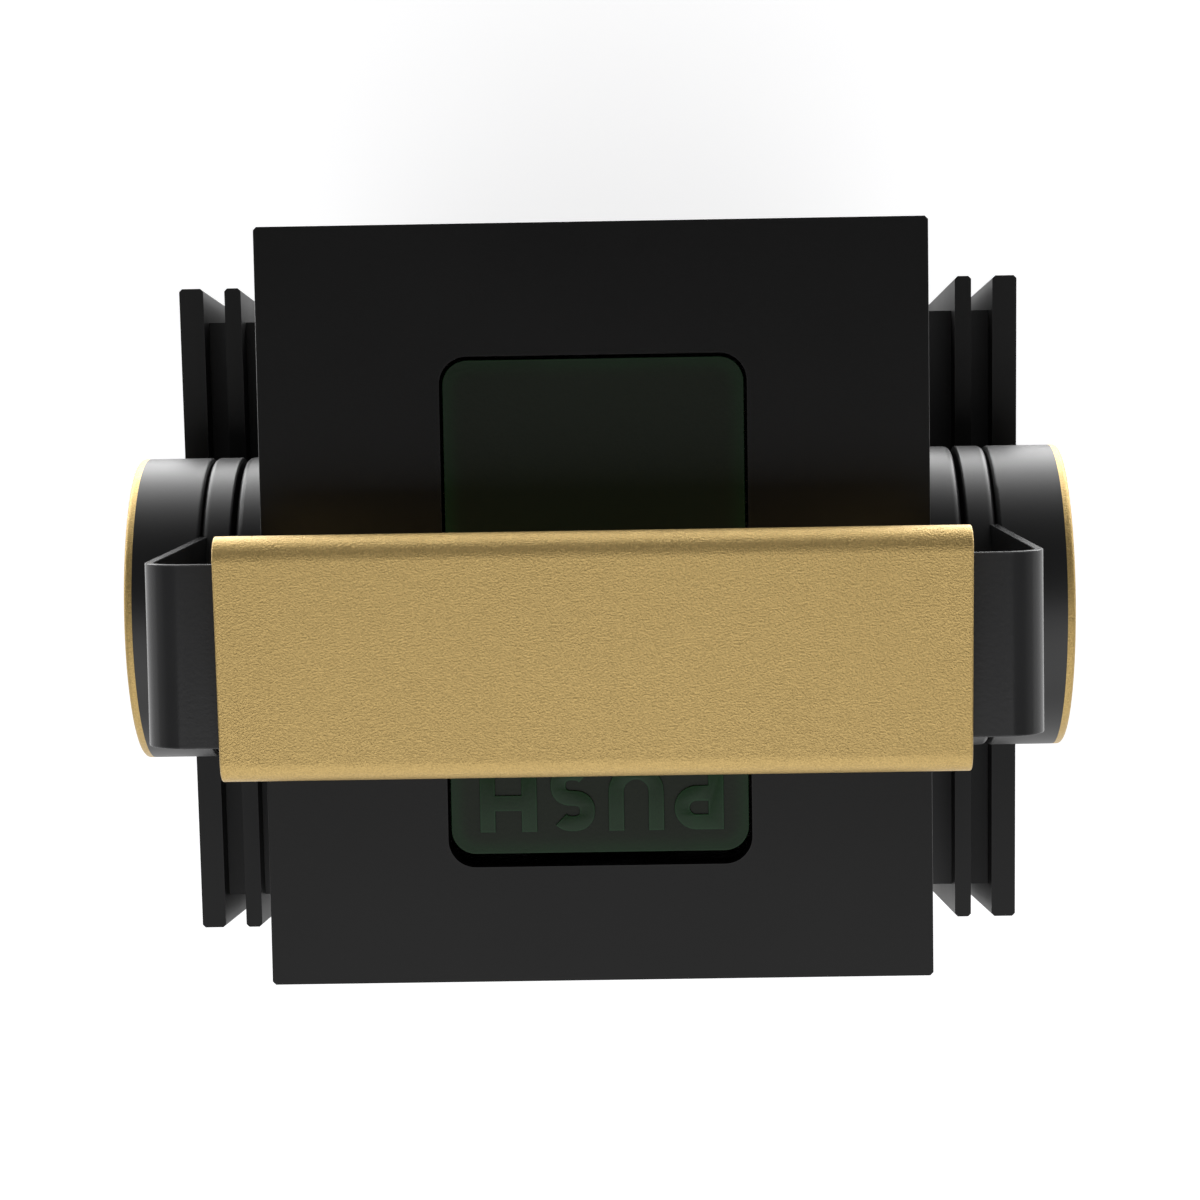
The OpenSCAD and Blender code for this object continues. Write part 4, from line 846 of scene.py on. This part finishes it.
def makeSpring(kit, fit, steps):
    tree = NodeTree("returnSpring", [(label, number) for label in kit] + [("Height", number)])
    radius, wire = tree.half("Mean Diameter"), tree.half("Wire")
    coil = {"Resolution": steps["turn"], "Rotations": tree.size("Turns"), "Start Radius": radius,
            "End Radius": radius, "Height": tree.size("Height")}
    helix = tree.add("GeometryNodeCurveSpiral", coil).outputs[0]
    circle = {"Resolution": steps["wire"], "Radius": wire}
    ring = tree.add("GeometryNodeCurvePrimitiveCircle", circle).outputs[0]
    swept = {"Curve": helix, "Profile Curve": ring, "Fill Caps": True}
    tree.close(tree.add("GeometryNodeCurveToMesh", swept).outputs[0], coatOf["return_spring"])
    low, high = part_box("pump_cap")
    y, seat = (low[1] + high[1]) / 2, high[2] + fit["gap"]
    sizes = dict(kit, Height=fit["length"] - kit["Wire"])
    piece = growPiece("returnSpring", tree, [(0.0, y, seat + kit["Wire"] / 2)], sizes)
    standFor(piece, "return_spring")
    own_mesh(piece)


makeSpring(returnSpring, springFit, meshSteps)
print("grown: fin screws, feet, return spring")

# the raised word on the paddle, in plain block letters
pushWord = {
    "stroke": 2.8,  # millimetres
    "tall": 12.2,
    "raised": 0.45,
    "sunk": 0.35,
    "edge": 0.10,
    "foot": 29.26,  # where the letters stand, from the tower's middle down the slope
    # left side and width
    "letters": {"P": (-22.6, 9.0), "U": (-11.7, 10.1), "S": (0.9, 8.1), "H": (11.5, 10.4)},
    "bowl": 8.1,  # the P's round part, across
    "hook": 38,  # degrees: where the S begins on its upper round
    "square": 0.85,  # how full the shoulders of the S are
    "bar": 0.564,  # how high the bar of the H lies, as a share
    "steps": {"P": 17, "hole": 13, "U": 21, "S": 25},  # points on each round
    "edgeSteps": 2,
    "weld": 2e-6,  # metres
}


def swell(value, square):
    # a sine or cosine; with square under 1, the shoulders of its round fill out
    return math.copysign(abs(value) ** square, value)


def arcPoints(cx, cy, rx, ry, start, stop, count, square=1.0):
    # part of an ellipse
    turns = [math.radians(start + (stop - start) * i / (count - 1)) for i in range(count)]
    return [(cx + rx * swell(math.cos(t), square), cy + ry * swell(math.sin(t), square)) for t in turns]


def strokeOutline(path, wide):
    # both sides of a line of points
    left, right = [], []
    for i, (x, y) in enumerate(path):
        ax, ay = path[max(i - 1, 0)]
        bx, by = path[min(i + 1, len(path) - 1)]
        long = math.hypot(bx - ax, by - ay)
        nx, ny = -(by - ay) / long * wide / 2, (bx - ax) / long * wide / 2
        left.append((x + nx, y + ny))
        right.append((x - nx, y - ny))
    return left + right[::-1]


def letterOutlines(letter, wide, kit):
    tall, stroke, steps = kit["tall"], kit["stroke"], kit["steps"]
    half = stroke / 2
    if letter == "P":
        outer = kit["bowl"] / 2
        inner = outer - stroke
        x, y = wide - outer, tall - outer
        bow = arcPoints(x, y, outer, outer, -90, 90, steps["P"])
        hole = arcPoints(x, y, inner, inner, -90, 90, steps["hole"])
        return [[(0, 0), (stroke, 0), (stroke, tall - kit["bowl"]), *bow, (0, tall)],
                [(stroke, y - inner), *hole, (stroke, y + inner)]]
    if letter == "U":
        bend = wide / 2 - half
        bow = arcPoints(wide / 2, half + bend, bend, bend, 180, 360, steps["U"])
        return [strokeOutline([(half, tall), *bow, (wide - half, tall)], stroke)]
    if letter == "S":
        rx, ry, hook = wide / 2 - half, (tall - stroke) / 4, kit["hook"]
        upper = arcPoints(wide / 2, tall - half - ry, rx, ry, hook, 270, steps["S"], kit["square"])
        lower = arcPoints(wide / 2, half + ry, rx, ry, 90, hook - 180, steps["S"], kit["square"])
        return [strokeOutline(upper + lower[1:], stroke)]
    low = tall * kit["bar"] - half
    high, right = low + stroke, wide - stroke
    return [[(0, 0), (stroke, 0), (stroke, low), (right, low), (right, 0), (wide, 0), (wide, tall),
             (right, tall), (right, high), (stroke, high), (stroke, tall), (0, tall)]]


def paddleTop():
    # a frame on the slanted top of the paddle, over the tower's middle
    faces = [face for face in nodes["push_paddle"].data.polygons if face.normal.z > edgeRules["upward"]]
    top = max(faces, key=lambda face: face.area)
    height = top.center.z + top.center.y * top.normal.y / top.normal.z
    slope = Matrix.Rotation(-math.atan2(top.normal.y, top.normal.z), 4, "X")
    return Matrix.Translation((0, 0, height)) @ slope


def makePushWord(kit):
    flat = bpy.data.curves.new("pushWord", "CURVE")
    flat.dimensions = "2D"
    flat.fill_mode = "BOTH"
    flat.extrude = (kit["raised"] + kit["sunk"]) / 2 * mm - kit["edge"] * mm
    flat.bevel_depth = kit["edge"] * mm
    flat.bevel_resolution = kit["edgeSteps"]
    flat.offset = -kit["edge"] * mm
    for letter, (left, wide) in kit["letters"].items():
        for outline in letterOutlines(letter, wide, kit):
            spline = flat.splines.new("POLY")
            spline.points.add(len(outline) - 1)
            for point, (x, y) in zip(spline.points, outline):
                point.co = ((left + x) * mm, (kit["foot"] + y) * mm, 0.0, 1.0)
            spline.use_cyclic_u = True
    drawn = bpy.data.objects.new("pushWordFlat", flat)
    scene.collection.objects.link(drawn)
    bpy.context.view_layer.update()
    graph = bpy.context.evaluated_depsgraph_get()
    mesh = bpy.data.meshes.new_from_object(drawn.evaluated_get(graph), depsgraph=graph)
    bpy.data.objects.remove(drawn)
    onPaddle = paddleTop() @ Matrix.Translation((0, 0, (kit["raised"] - kit["sunk"]) / 2 * mm))
    bm = bmesh.new()
    bm.from_mesh(mesh)
    bmesh.ops.remove_doubles(bm, verts=bm.verts, dist=kit["weld"])
    bmesh.ops.transform(bm, matrix=onPaddle, verts=bm.verts)
    bmesh.ops.recalc_face_normals(bm, faces=bm.faces)
    bm.to_mesh(mesh)
    openEdges = sum(1 for e in bm.edges if len(e.link_faces) != 2)
    bm.free()
    piece = newPiece("pushWord", mesh, mats["green"])
    smooth(mesh, sharpFrom["word"])
    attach(piece, bodyOf["push_paddle"])
    print("word on the paddle:", len(mesh.polygons), "faces,", openEdges, "open edges")


makePushWord(pushWord)
